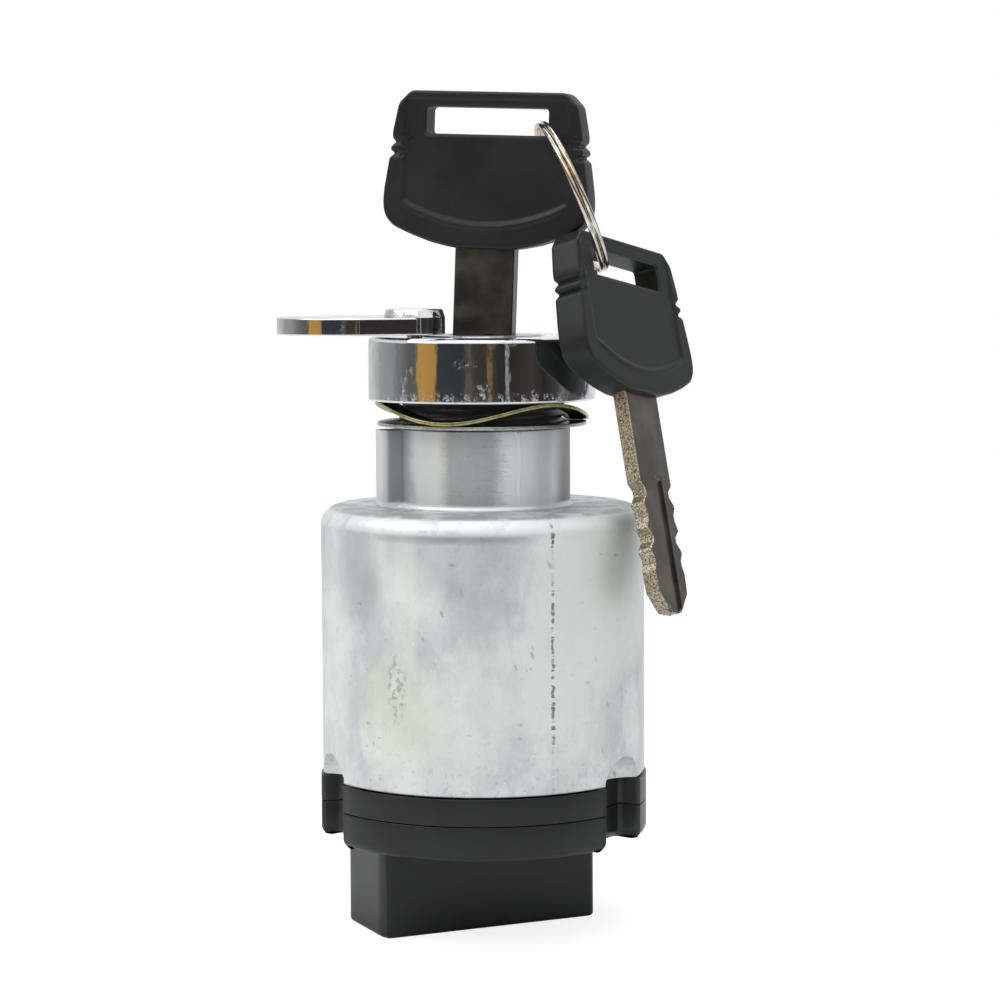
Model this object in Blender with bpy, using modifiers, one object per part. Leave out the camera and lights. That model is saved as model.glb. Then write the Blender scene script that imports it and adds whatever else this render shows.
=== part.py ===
"""Ignition switch with a swing-aside dust cover, a key in the lock and a second key on a split ring.

Units are metres and +Z is up. The switch stands on the rim of its connector shroud at z = 0, with the
lock's axis upright. The shroud's broad sides face -Y and +Y. Angles are in degrees, counter-clockwise
seen from above, starting at +X.
"""
import math

import bmesh
import bpy
from mathutils import Matrix, Vector

# Clearances
GAP = 0.0003
SLIP = 0.00035

# Where the lock's axis stands, so that the whole outline is centred on the origin
AXIS_X = -0.00092
AXIS_Y = 0.00168

# Heights of the stack, each above the one before
SHROUD_HEIGHT = 0.0130
BASE_THICK = 0.0048
HOLDER_THICK = 0.00355
BODY_HEIGHT = 0.0390
NECK_HEIGHT = 0.0101

# Housing
BODY_R = 0.0230
SHOULDER_ROUND = 0.0018
BODY_WALL = 0.0040
BODY_ROOF = 0.0050
NECK_R = 0.0125
NECK_FOOT_ROUND = 0.0007
THREAD_R = 0.0118
THREAD_CHAMFER = 0.0005
BORE_R = 0.0083
BOSS_R = 0.0113
BOSS_LENGTH = 0.0097
RIB_TURN = 169.0
RIB_REACH = 0.0150
RIB_WIDTH = 0.0046
RIB_ROUND = 0.0006
RIB_SHORT = 0.0002

# Three notches in the foot, and the screws between them
NOTCH_TURNS = (60.0, 176.0, 304.0)
NOTCH_DEPTH = 0.0034
NOTCH_FLOOR_R = BODY_R - NOTCH_DEPTH
NOTCH_WIDTH = 0.0092
NOTCH_CORNER = 0.0010
SCOOP_DEPTH = 0.0033
SCOOP_RISE = 0.0036
SCREW_TURNS = (2.0, 118.0, 240.0)
SCREW_INSET = 0.0047
SCREW_CIRCLE_R = BODY_R - SCREW_INSET
SCREW_R = 0.0012
SCREW_LENGTH = 0.0205
SCREW_HEAD_R = 0.0024
SCREW_HEAD_THICK = 0.0015
COLUMN_R = 0.0032
COLUMN_HOLE_DEPTH = 0.0150

# Contact holder and terminal base
FOOT_PROUD = 0.0003
FOOT_R = BODY_R + FOOT_PROUD
FOOT_ARC_STEPS = 10
BASE_FOOT_ROUND = 0.0014
HOLDER_WALL = 0.0012
HOLDER_WALL_HEIGHT = 0.0148
DETENT_R = 0.0015
DETENT_STEPS = (-80.0, -40.0, 0.0, 36.0)
SHROUD_LENGTH = 0.0330
SHROUD_DEPTH = 0.0138
SHROUD_WALL = 0.0014
SHROUD_ROUND = 0.0012
SHROUD_RIM_ROUND = 0.0006
SHROUD_X = -0.0015
SHROUD_Y = 0.0010
LUG_X = 0.0034
LUG_WIDTH = 0.0040
LUG_THICK = 0.0008
LUG_REACH = 0.0014

# Terminals
TERMINAL_COUNT = 6
TERMINAL_PITCH = 0.0050
TERMINAL_THICK = 0.0008
TERMINAL_WIDTH = 0.0063
TERMINAL_INSET = 0.0020
CONTACT_REACH = 0.0018
OUTER_CONTACT_X = 0.0098

# Rotor and its contacts
ROTOR_R = 0.0110
TANG_LENGTH = 0.0078
TANG_WIDTH = 0.0070
TANG_THICK = 0.0026
TANG_END_GAP = 0.0005
BRIDGE_THICK = 0.0008
BRIDGE_LENGTH = 0.0190
BRIDGE_WIDTH = 0.0062
BRIDGE_HOLE_R = 0.0020
CONTACT_SPRING_X = 0.0060
CONTACT_SPRING_R = 0.0010
CONTACT_SPRING_WIRE_R = 0.00025
CONTACT_SPRING_LENGTH = 0.0050
BALL_R = 0.0012
BALL_CIRCLE_R = 0.0101
BALL_DROP = 0.0106
DETENT_SPRING_R = 0.0008
DETENT_SPRING_WIRE_R = 0.0002
DETENT_SPRING_LENGTH = 0.0040

# Lock plug, wafers and clip
LOCK_TURN = -43.0
PLUG_R = 0.0080
PLUG_HEAD_R = 0.0088
PLUG_HEAD_THICK = 0.0030
PLUG_EDGE = 0.0003
PLUG_FOOT = 0.0018
KEYWAY_WIDTH = 0.0102
KEYWAY_THICK = 0.0029
KEYWAY_SPARE = 0.0013
WAFER_COUNT = 4
WAFER_FIRST_DROP = 0.0041
WAFER_TIP_SPARE = 0.0041
WAFER_THICK = 0.0010
WAFER_LENGTH = 0.0144
WAFER_WIDTH = 0.0062
WAFER_LUG = 0.0016
WAFER_SPRING_R = 0.0006
WAFER_SPRING_WIRE_R = 0.00015
WAFER_SPRING_LENGTH = 0.0036
CLIP_THICK = 0.0007
CLIP_R = 0.0098
CLIP_GROOVE_DEPTH = 0.0010
CLIP_MOUTH = 70.0
RETURN_SPRING_WIRE_R = 0.0005
RETURN_SPRING_LENGTH = 0.0076
RETURN_SPRING_TURNS = 4

# Washers and bezel
WASHER_R = 0.01485
WASHER_THICK = 0.0005
WAVE_THICK = 0.0005
WAVE_HEIGHT = 0.0020
WAVE_COUNT = 3
WAVE_TURN = 45.0
BEZEL_R = 0.0161
BEZEL_HEIGHT = 0.0090
BEZEL_TOP_BEVEL = 0.0009
BEZEL_FOOT_BEVEL = 0.0004
BEZEL_LIP_THICK = 0.0029

# Dust cover, swung aside
COVER_R = 0.0108
COVER_THICK = 0.0024
COVER_TURN = 131.7
COVER_ARM = 0.0094
COVER_LUG_SPREAD = 60.0
COVER_PIVOT_R = 0.0116
COVER_PIVOT_TURN = 191.6
COVER_EDGE_ROUND = 0.0004
COVER_BOSS_R = 0.0043
COVER_BOSS_TOP_R = 0.0036
COVER_BOSS_HEIGHT = 0.0012
PIN_R = 0.0011
PIN_HEAD_R = 0.0019
PIN_HEAD_THICK = 0.0005
PIN_GRIP = 0.0018
COVER_SPRING_WIRE_R = 0.00025
COVER_SPRING_LENGTH = 0.0016

# Keys; a cut is listed as (share of its pitch, share of its depth), and a head's outline as (share of half its
# width, share of its height)
BLADE_WIDTH = 0.0088
BLADE_THICK = 0.0021
BLADE_LENGTH = 0.0310
BLADE_ROOT = 0.0060
BLADE_GROOVE = 0.0004
BLADE_GROOVE_WIDTH = 0.0016
BLADE_GROOVE_SHIFT = 0.0010
CUT_DEPTH = 0.0011
CUT_DEPTHS = (1.0, 0.55, 1.0, 0.55)
CUT_SHARES = ((0.15, 0.0), (0.45, 1.0), (0.70, 1.0), (1.0, 0.15))
CUT_RUN_OUT = 0.5
TIP_TAPER = 0.0028
TIP_INSET = 0.3
TIP_SHARE = 0.35
HEAD_WIDTH = 0.0304
HEAD_HEIGHT = 0.0221
HEAD_THICK = 0.0044
HEAD_ROUND = 0.0005
HEAD_SLOT_WIDTH = 0.0180
HEAD_SLOT_HEIGHT = 0.0038
HEAD_SLOT_TOP = 0.0022
HEAD_SHAPE = ((0.750, 1.000), (0.868, 0.919), (0.921, 0.738), (0.921, 0.692), (0.882, 0.670), (0.928, 0.647),
              (0.941, 0.620), (0.895, 0.597), (0.947, 0.570), (0.993, 0.367), (1.000, 0.267), (0.974, 0.195),
              (0.895, 0.136), (0.724, 0.086), (0.507, 0.036), (0.276, 0.005))
PANEL_DEPTH = 0.00025
PANEL_WIDTH = 0.0240
PANEL_LOW = 0.0034
PANEL_CORNER_RISE = 0.0026
PANEL_TOP = 0.0008
KEY_REACH = 0.0120
KEY_LEAN = 2.3

# Split ring and hanging key, placed in axes turned to the side they hang on
FRONT_TURN = -25.0
RING_R = 0.0110
RING_WIRE_R = 0.00035
RING_TURNS = 2
RING_X = 0.01253
RING_Y = -0.00384
RING_RISE = 0.00722
RING_TILT = (0.0, -22.3, 5.1)
HANG_X = 0.01678
HANG_Y = -0.00509
HANG_DROP = 0.00285
HANG_SLOT_X = -0.00383
HANG_SLOT_Z = 0.01791
HANG_SPIN = 59.55
HANG_SWAY = -15.45
HANG_TIP_CLEAR = 0.0011

# Heights worked out from the stack
BASE_Z = SHROUD_HEIGHT
HOLDER_Z = BASE_Z + BASE_THICK + GAP
BODY_Z = HOLDER_Z + HOLDER_THICK + GAP
NECK_Z = BODY_Z + BODY_HEIGHT
WASHER_Z = NECK_Z + NECK_HEIGHT + GAP
WAVE_Z = WASHER_Z + WASHER_THICK + GAP
BEZEL_Z = WAVE_Z + WAVE_HEIGHT + WAVE_THICK + GAP
BEZEL_TOP_Z = BEZEL_Z + BEZEL_HEIGHT
HOUSING_TOP_Z = BEZEL_TOP_Z - BEZEL_LIP_THICK - GAP
PLUG_TOP_Z = HOUSING_TOP_Z + GAP + PLUG_HEAD_THICK
COVER_Z = max(PLUG_TOP_Z, BEZEL_TOP_Z) + GAP
BOSS_Z = NECK_Z - BODY_ROOF - BOSS_LENGTH
CLIP_Z = BOSS_Z - GAP - CLIP_THICK
PLUG_Z = CLIP_Z - GAP - PLUG_FOOT
KEY_ROOT_Z = PLUG_TOP_Z + KEY_REACH
WAFER_PITCH = (BLADE_LENGTH - KEY_REACH - WAFER_FIRST_DROP - WAFER_TIP_SPARE) / (WAFER_COUNT - 1)
CONTACT_Z = BODY_Z + GAP
BRIDGE_Z = CONTACT_Z + GAP
ROTOR_Z = BRIDGE_Z + BRIDGE_THICK + GAP
ROTOR_TOP_Z = PLUG_Z - GAP

BLACK = ("black_plastic", (0.020, 0.020, 0.022), 0.42, 0.0)
ZINC = ("cast_zinc", (0.62, 0.65, 0.68), 0.38, 0.9)
CHROME = ("chrome", (0.80, 0.80, 0.82), 0.08, 1.0)
YELLOW_ZINC = ("yellow_zinc", (0.72, 0.62, 0.36), 0.25, 1.0)
PLATED = ("zinc_plate", (0.70, 0.70, 0.70), 0.25, 1.0)
BRASS = ("brass", (0.75, 0.58, 0.28), 0.30, 1.0)
COPPER = ("copper", (0.75, 0.42, 0.28), 0.32, 1.0)
STEEL = ("steel", (0.45, 0.45, 0.46), 0.30, 1.0)
KEY_STEEL = ("key_steel", (0.30, 0.28, 0.26), 0.30, 1.0)
NYLON = ("nylon", (0.78, 0.76, 0.70), 0.50, 0.0)

FRAMES = {}


def clear_scene():
    """Empties the scene and makes the two collections."""
    for obj in list(bpy.data.objects):
        bpy.data.objects.remove(obj, do_unlink=True)
    parts = bpy.data.collections.new("ignition_switch")
    cutters = bpy.data.collections.new("cutters")
    for group in (parts, cutters):
        bpy.context.scene.collection.children.link(group)
    FRAMES["parts"] = parts
    FRAMES["cutters"] = cutters


def frame(name, parent=None, place=(0.0, 0.0, 0.0), turn=(0.0, 0.0, 0.0)):
    """Makes an empty that carries pieces; turn is in degrees about X, Y and Z."""
    empty = bpy.data.objects.new(name, None)
    FRAMES["parts"].objects.link(empty)
    empty.empty_display_size = 0.004
    empty.parent = parent
    empty.location = place
    empty.rotation_euler = [math.radians(angle) for angle in turn]
    return empty


def finish(obj, parent, paint):
    """Gives a piece its parent and material and shades its round faces smooth."""
    name, colour, roughness, metallic = paint
    obj.parent = parent
    surface = bpy.data.materials.new(obj.name + "_" + name)
    surface.use_nodes = True
    shader = surface.node_tree.nodes["Principled BSDF"]
    shader.inputs["Base Color"].default_value = (*colour, 1.0)
    shader.inputs["Roughness"].default_value = roughness
    shader.inputs["Metallic"].default_value = metallic
    if not obj.data.materials:
        obj.data.materials.append(surface)
    if obj.type == "MESH":
        obj.data.shade_smooth()
        obj.data.set_sharp_from_angle(angle=math.radians(35))
    return obj


def mesh_object(name, form, group="parts"):
    """Turns a bmesh into an object in one of the two collections."""
    mesh = bpy.data.meshes.new(name)
    form.to_mesh(mesh)
    form.free()
    obj = bpy.data.objects.new(name, mesh)
    FRAMES[group].objects.link(obj)
    if group == "cutters":
        obj.hide_render = True
        obj.display_type = "WIRE"
    return obj


def block(name, size, centre, group="parts", turn=0.0):
    """Makes a box of the given size, turned about the Z axis of its parent."""
    form = bmesh.new()
    bmesh.ops.create_cube(form, size=1.0)
    bmesh.ops.scale(form, vec=size, verts=form.verts)
    bmesh.ops.translate(form, vec=centre, verts=form.verts)
    bmesh.ops.rotate(form, matrix=Matrix.Rotation(math.radians(turn), 3, "Z"), verts=form.verts)
    return mesh_object(name, form, group)


def rod(name, radius, start, end, group="parts", sides=24):
    """Makes a cylinder between two points."""
    form = bmesh.new()
    start = Vector(start)
    span = Vector(end) - start
    bmesh.ops.create_cone(form, cap_ends=True, segments=sides, radius1=radius, radius2=radius, depth=span.length)
    spin = Vector((0, 0, 1)).rotation_difference(span).to_matrix()
    bmesh.ops.rotate(form, matrix=spin, verts=form.verts)
    bmesh.ops.translate(form, vec=start + span / 2, verts=form.verts)
    return mesh_object(name, form, group)


def turned(name, profile, steps=48, group="parts", closed=True):
    """Spins a profile of (radius, height) points about Z; it runs down its outer side."""
    form = bmesh.new()
    points = [form.verts.new((radius, 0.0, height)) for radius, height in profile]
    for first, second in zip(points, points[1:]):
        form.edges.new((first, second))
    if closed:
        form.edges.new((points[-1], points[0]))
    obj = mesh_object(name, form, group)
    spin = obj.modifiers.new("turn", "SCREW")
    spin.steps = steps
    spin.render_steps = steps
    spin.use_merge_vertices = True
    spin.merge_threshold = 0.000001
    spin.use_smooth_shade = True
    return obj


def bake(obj, group="parts"):
    """Replaces a curve by its welded mesh, so that it can be cut or joined."""
    bpy.context.view_layer.update()
    graph = bpy.context.evaluated_depsgraph_get()
    mesh = bpy.data.meshes.new_from_object(obj.evaluated_get(graph))
    form = bmesh.new()
    form.from_mesh(mesh)
    bmesh.ops.remove_doubles(form, verts=form.verts, dist=0.000002)
    form.to_mesh(mesh)
    form.free()
    name = obj.name
    place = obj.matrix_world.copy()
    bpy.data.objects.remove(obj, do_unlink=True)
    solid = bpy.data.objects.new(name, mesh)
    solid.matrix_world = place
    FRAMES[group].objects.link(solid)
    if group == "cutters":
        solid.hide_render = True
        solid.display_type = "WIRE"
    return solid


def plate(name, loops, low, high, group="parts"):
    """Extrudes flat closed loops of (x, y) points from one height to another; inner loops are holes."""
    curve = bpy.data.curves.new(name, "CURVE")
    curve.dimensions = "2D"
    curve.fill_mode = "BOTH"
    curve.extrude = (high - low) / 2
    for loop in loops:
        line = curve.splines.new("POLY")
        line.points.add(len(loop) - 1)
        for point, (x, y) in zip(line.points, loop):
            point.co = (x, y, 0.0, 1.0)
        line.use_cyclic_u = True
    obj = bpy.data.objects.new(name, curve)
    FRAMES[group].objects.link(obj)
    obj.location = (0.0, 0.0, (low + high) / 2)
    solid = bake(obj, group)
    solid.data.transform(solid.matrix_world)
    solid.matrix_world = Matrix.Identity(4)
    return solid


def stood(obj, centre_y=0.0):
    """Stands a plate made in XY up in XZ, with its thickness along Y."""
    obj.data.transform(Matrix.Translation((0.0, centre_y, 0.0)) @ Matrix.Rotation(math.radians(90), 4, "X"))
    return obj


def wire(name, points, radius, sides=2):
    """Makes a round wire with closed ends along a list of points."""
    curve = bpy.data.curves.new(name, "CURVE")
    curve.dimensions = "3D"
    curve.bevel_depth = radius
    curve.bevel_resolution = sides
    curve.use_fill_caps = True
    line = curve.splines.new("POLY")
    line.points.add(len(points) - 1)
    for point, place in zip(line.points, points):
        point.co = (*place, 1.0)
    obj = bpy.data.objects.new(name, curve)
    FRAMES["parts"].objects.link(obj)
    return bake(obj)


def coil_points(radius, length, turns, per_turn):
    """Lists points along a coil about Z, starting at z = 0."""
    count = int(turns * per_turn)
    points = []
    for step in range(count + 1):
        angle = 2 * math.pi * step / per_turn
        points.append((radius * math.cos(angle), radius * math.sin(angle), length * step / count))
    return points


def spring(name, radius, wire_radius, length, turns, per_turn=6, sides=0):
    """Makes a coil spring whose overall length, wire included, is the given one."""
    points = coil_points(radius, length - 2 * wire_radius, turns, per_turn)
    obj = wire(name, points, wire_radius, sides)
    obj.data.transform(Matrix.Translation((0.0, 0.0, wire_radius)))
    return obj


def boolean(obj, tool, operation="DIFFERENCE"):
    """Cuts a piece with a tool, or joins the tool to it; a piece with a rounded foot is cut as a closed solid."""
    tool.parent = obj.parent
    change = obj.modifiers.new(tool.name, "BOOLEAN")
    change.operation = operation
    change.solver = "MANIFOLD" if "foot_round" in obj.modifiers else "EXACT"
    change.object = tool


def edge_round(obj, width, segments=2, angle=50.0):
    """Rounds the sharp edges of a piece."""
    soft = obj.modifiers.new("edges", "BEVEL")
    soft.width = width
    soft.segments = segments
    soft.limit_method = "ANGLE"
    soft.angle_limit = math.radians(angle)


def arc(centre, radius, start, end, steps):
    """Lists points on a circular arc, angles in degrees."""
    points = []
    for step in range(steps + 1):
        angle = math.radians(start + (end - start) * step / steps)
        points.append((centre[0] + radius * math.cos(angle), centre[1] + radius * math.sin(angle)))
    return points


def round_rectangle(length, depth, corner, centre=(0.0, 0.0), steps=2):
    """Lists the outline of a rectangle with round corners."""
    points = []
    half_x = length / 2 - corner
    half_y = depth / 2 - corner
    for number, (side_x, side_y) in enumerate(((1, 1), (-1, 1), (-1, -1), (1, -1))):
        middle = (centre[0] + side_x * half_x, centre[1] + side_y * half_y)
        points += arc(middle, corner, 90.0 * number, 90.0 * number + 90.0, steps)
    return points


def circle(radius, steps=32, centre=(0.0, 0.0)):
    """Lists the points of a circle."""
    return arc(centre, radius, 0.0, 360.0, steps)[:-1]


def polar(radius, angle, height=0.0):
    """Gives the point at a radius and an angle in degrees."""
    return (radius * math.cos(math.radians(angle)), radius * math.sin(math.radians(angle)), height)


def foot_outline():
    """Lists the outline of the round foot with its three flat-floored notches."""
    points = []
    half = NOTCH_WIDTH / 2
    reach = math.degrees(math.asin(half / FOOT_R))
    turns = sorted(NOTCH_TURNS)
    for number, turn in enumerate(turns):
        across = Matrix.Rotation(math.radians(turn), 2)
        rim = math.sqrt(FOOT_R ** 2 - half ** 2)
        soft = NOTCH_CORNER
        floor = arc((NOTCH_FLOOR_R + soft, -half + soft), soft, 270.0, 180.0, 2)
        floor += arc((NOTCH_FLOOR_R + soft, half - soft), soft, 180.0, 90.0, 2)
        for point in [(rim, -half)] + floor + [(rim, half)]:
            points.append(tuple(across @ Vector(point)))
        following = turns[(number + 1) % len(turns)] + (360.0 if number == len(turns) - 1 else 0.0)
        points += arc((0.0, 0.0), FOOT_R, turn + reach, following - reach, FOOT_ARC_STEPS)[1:-1]
    return points


def housing_profile():
    """Lists the cast housing's section, from its thread down the outside and back up the inside."""
    inner = BODY_R - BODY_WALL
    roof = NECK_Z - BODY_ROOF
    foot = NECK_FOOT_ROUND
    top = HOUSING_TOP_Z
    seat = NECK_Z + NECK_HEIGHT
    profile = [(THREAD_R - THREAD_CHAMFER, top), (THREAD_R, top - THREAD_CHAMFER), (THREAD_R, seat), (NECK_R, seat)]
    profile += arc((NECK_R + foot, NECK_Z + foot), foot, 180.0, 270.0, 2)
    round_centre = (BODY_R - SHOULDER_ROUND, NECK_Z - SHOULDER_ROUND)
    profile += arc(round_centre, SHOULDER_ROUND, 90.0, 0.0, 4)
    profile += [(BODY_R, BODY_Z), (inner, BODY_Z), (inner, roof), (BOSS_R, roof), (BOSS_R, BOSS_Z)]
    profile += [(BORE_R, BOSS_Z), (BORE_R, top)]
    return profile


def make_housing(root):
    """Builds the cast body with its neck, rib, screw columns and the scoops above the notches."""
    housing = turned("housing", housing_profile(), steps=54)
    finish(housing, root, ZINC)
    rib_length = RIB_REACH - BORE_R - GAP * 4
    rib_top = NECK_Z + NECK_HEIGHT - RIB_SHORT
    rib_low = NECK_Z - BODY_ROOF / 2
    rib_middle = (RIB_REACH - rib_length / 2, 0.0, (rib_top + rib_low) / 2)
    rib = block("rib_tool", (rib_length, RIB_WIDTH, rib_top - rib_low), rib_middle, "cutters", RIB_TURN)
    edge_round(rib, RIB_ROUND)
    boolean(housing, rib, "UNION")
    column_low = BODY_Z + GAP
    column_top = NECK_Z - BODY_ROOF / 2
    for number, turn in enumerate(SCREW_TURNS):
        low = polar(SCREW_CIRCLE_R, turn, column_low)
        column = rod(f"column_tool_{number + 1}", COLUMN_R, low, polar(SCREW_CIRCLE_R, turn, column_top), "cutters", 12)
        boolean(housing, column, "UNION")
    for number, turn in enumerate(SCREW_TURNS):
        low = polar(SCREW_CIRCLE_R, turn, BODY_Z - GAP)
        high = polar(SCREW_CIRCLE_R, turn, column_low + COLUMN_HOLE_DEPTH)
        boolean(housing, rod(f"column_hole_tool_{number + 1}", SCREW_R + GAP, low, high, "cutters", 12))
    for number, turn in enumerate(NOTCH_TURNS):
        form = bmesh.new()
        bmesh.ops.create_uvsphere(form, u_segments=14, v_segments=8, radius=1.0)
        size = (SCOOP_DEPTH, NOTCH_WIDTH / 2, SCOOP_RISE)
        bmesh.ops.scale(form, vec=size, verts=form.verts)
        bmesh.ops.translate(form, vec=(BODY_R, 0.0, BODY_Z), verts=form.verts)
        bmesh.ops.rotate(form, matrix=Matrix.Rotation(math.radians(turn), 3, "Z"), verts=form.verts)
        boolean(housing, mesh_object(f"scoop_tool_{number + 1}", form, "cutters"))


def screw_holes(obj, low, high):
    """Drills the three clearance holes through a layer of the foot."""
    for number, turn in enumerate(SCREW_TURNS):
        start = polar(SCREW_CIRCLE_R, turn, low)
        drill = rod(f"{obj.name}_hole_tool_{number + 1}", SCREW_R + GAP, start, polar(SCREW_CIRCLE_R, turn, high),
                    "cutters", 12)
        boolean(obj, drill)


def terminal_places():
    """Lists where each terminal's blade stands and where its contact stands, along X."""
    first = -(TERMINAL_COUNT - 1) / 2
    places = []
    for number in range(TERMINAL_COUNT):
        blade = SHROUD_X + (first + number) * TERMINAL_PITCH
        contact = max(-OUTER_CONTACT_X, min(OUTER_CONTACT_X, blade))
        places.append((blade, contact))
    return places


def make_holder(root):
    """Builds the upper black layer: a notched flange with the detent wall standing on it."""
    inner = ROTOR_R + SLIP * 2
    outline = foot_outline()
    holder = plate("contact_holder", [outline], HOLDER_Z, HOLDER_Z + HOLDER_THICK)
    finish(holder, root, BLACK)
    low = HOLDER_Z + HOLDER_THICK / 2
    high = HOLDER_Z + HOLDER_THICK + HOLDER_WALL_HEIGHT
    boolean(holder, rod("holder_wall_tool", inner + HOLDER_WALL, (0, 0, low), (0, 0, high), "cutters", 36), "UNION")
    boolean(holder, rod("holder_bore_tool", inner, (0, 0, HOLDER_Z - GAP), (0, 0, high + GAP), "cutters", 36))
    screw_holes(holder, HOLDER_Z - GAP, HOLDER_Z + HOLDER_THICK + GAP)
    blades = [blade for blade, contact in terminal_places()]
    recess_length = max(blades) - min(blades) + TERMINAL_THICK + 4 * GAP
    recess_middle = ((max(blades) + min(blades)) / 2, 0.0, HOLDER_Z)
    recess_size = (recess_length, TERMINAL_WIDTH + 4 * GAP, HOLDER_THICK)
    boolean(holder, block("holder_recess_tool", recess_size, recess_middle, "cutters"))
    for number, step in enumerate(DETENT_STEPS):
        for side in (90.0, 270.0):
            middle = polar(BALL_CIRCLE_R + GAP * 2, LOCK_TURN + step + side)
            low_end = (middle[0], middle[1], HOLDER_Z - GAP)
            high_end = (middle[0], middle[1], high + GAP)
            groove = rod(f"detent_tool_{number + 1}_{int(side)}", DETENT_R, low_end, high_end, "cutters", 10)
            boolean(holder, groove)


def make_base(root):
    """Builds the lower black layer with the connector shroud under it."""
    base = plate("terminal_base", [foot_outline()], BASE_Z, BASE_Z + BASE_THICK)
    finish(base, root, BLACK)
    weights = base.data.attributes.new("bevel_weight_edge", "FLOAT", "EDGE")
    for edge in base.data.edges:
        ends = [base.data.vertices[index].co.z for index in edge.vertices]
        if max(ends) < BASE_Z + GAP:
            weights.data[edge.index].value = 1.0
    soft = base.modifiers.new("foot_round", "BEVEL")
    soft.width = BASE_FOOT_ROUND
    soft.segments = 2
    soft.limit_method = "WEIGHT"
    centre = (SHROUD_X, SHROUD_Y)
    outer = round_rectangle(SHROUD_LENGTH, SHROUD_DEPTH, SHROUD_ROUND, centre)
    shroud = plate("shroud_tool", [outer], 0.0, BASE_Z + BASE_THICK / 2, "cutters")
    edge_round(shroud, SHROUD_RIM_ROUND, 2, 60.0)
    boolean(base, shroud, "UNION")
    lug_y = SHROUD_Y - SHROUD_DEPTH / 2
    lug_size = (LUG_WIDTH, LUG_REACH * 2, LUG_THICK * 2)
    boolean(base, block("lug_tool", lug_size, (LUG_X, lug_y, BASE_Z), "cutters"), "UNION")
    inner_corner = SHROUD_ROUND - SHROUD_WALL / 2
    inner = round_rectangle(SHROUD_LENGTH - 2 * SHROUD_WALL, SHROUD_DEPTH - 2 * SHROUD_WALL, inner_corner, centre)
    boolean(base, plate("cavity_tool", [inner], -GAP, BASE_Z - GAP, "cutters"))
    for number, (blade, contact) in enumerate(terminal_places()):
        size = (TERMINAL_THICK + 2 * GAP, TERMINAL_WIDTH + 2 * GAP, BASE_THICK * 2)
        middle = (blade, 0.0, BASE_Z + BASE_THICK / 2)
        boolean(base, block(f"terminal_slot_tool_{number + 1}", size, middle, "cutters"))
    screw_holes(base, BASE_Z - GAP, BASE_Z + BASE_THICK + GAP)
    for number, turn in enumerate(SCREW_TURNS):
        low = polar(SCREW_CIRCLE_R, turn, BASE_Z - GAP)
        high = polar(SCREW_CIRCLE_R, turn, BASE_Z + 2 * GAP + SCREW_HEAD_THICK)
        boolean(base, rod(f"counterbore_tool_{number + 1}", SCREW_HEAD_R + GAP, low, high, "cutters", 12))


def make_terminals(root):
    """Builds the bent strip terminals, from blade tip up to contact head."""
    half = TERMINAL_THICK / 2
    low = TERMINAL_INSET
    top = CONTACT_Z
    jog = HOLDER_Z + HOLDER_THICK / 2 - 2 * GAP
    for number, (blade, contact) in enumerate(terminal_places()):
        side = -1.0 if blade > 0 else 1.0
        reach = side * CONTACT_REACH
        if abs(contact - blade) > TERMINAL_THICK:
            outline = [(blade - side * half, low + half), (blade - side * half, jog)]
            outline += [(contact - side * half, jog), (contact - side * half, top), (contact + side * half, top)]
            outline += [(contact + side * half, jog - TERMINAL_THICK), (blade + side * half, jog - TERMINAL_THICK)]
            outline += [(blade + side * half, low + half), (blade + side * half / 2, low)]
            outline += [(blade - side * half / 2, low)]
        else:
            outline = [(blade - side * half, low + half), (blade - side * half, top), (blade + reach, top)]
            outline += [(blade + reach, top - TERMINAL_THICK), (blade + side * half, top - TERMINAL_THICK)]
            outline += [(blade + side * half, low + half), (blade + side * half / 2, low)]
            outline += [(blade - side * half / 2, low)]
        strip = plate(f"terminal_{number + 1}", [outline], -TERMINAL_WIDTH / 2, TERMINAL_WIDTH / 2)
        finish(stood(strip), root, BRASS)


def make_screws(root):
    """Builds the three screws that draw the black layers up against the housing."""
    low = BASE_Z + GAP
    seat = low + SCREW_HEAD_THICK
    profile = [(0.0, low + SCREW_LENGTH), (SCREW_R - GAP, low + SCREW_LENGTH), (SCREW_R, low + SCREW_LENGTH - GAP)]
    profile += [(SCREW_R, seat), (SCREW_HEAD_R, seat), (SCREW_HEAD_R, low + GAP), (SCREW_HEAD_R - GAP, low), (0.0, low)]
    for number, turn in enumerate(SCREW_TURNS):
        spot = frame(f"screw_frame_{number + 1}", root, polar(SCREW_CIRCLE_R, turn))
        screw = turned(f"base_screw_{number + 1}", profile, 12, closed=False)
        finish(screw, spot, PLATED)
        for index, size in enumerate(((SCREW_HEAD_R, 2 * GAP), (2 * GAP, SCREW_HEAD_R))):
            cross = block(f"cross_tool_{number + 1}_{index}", (*size, SCREW_HEAD_THICK), (0.0, 0.0, low), "cutters")
            boolean(screw, cross)


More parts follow.
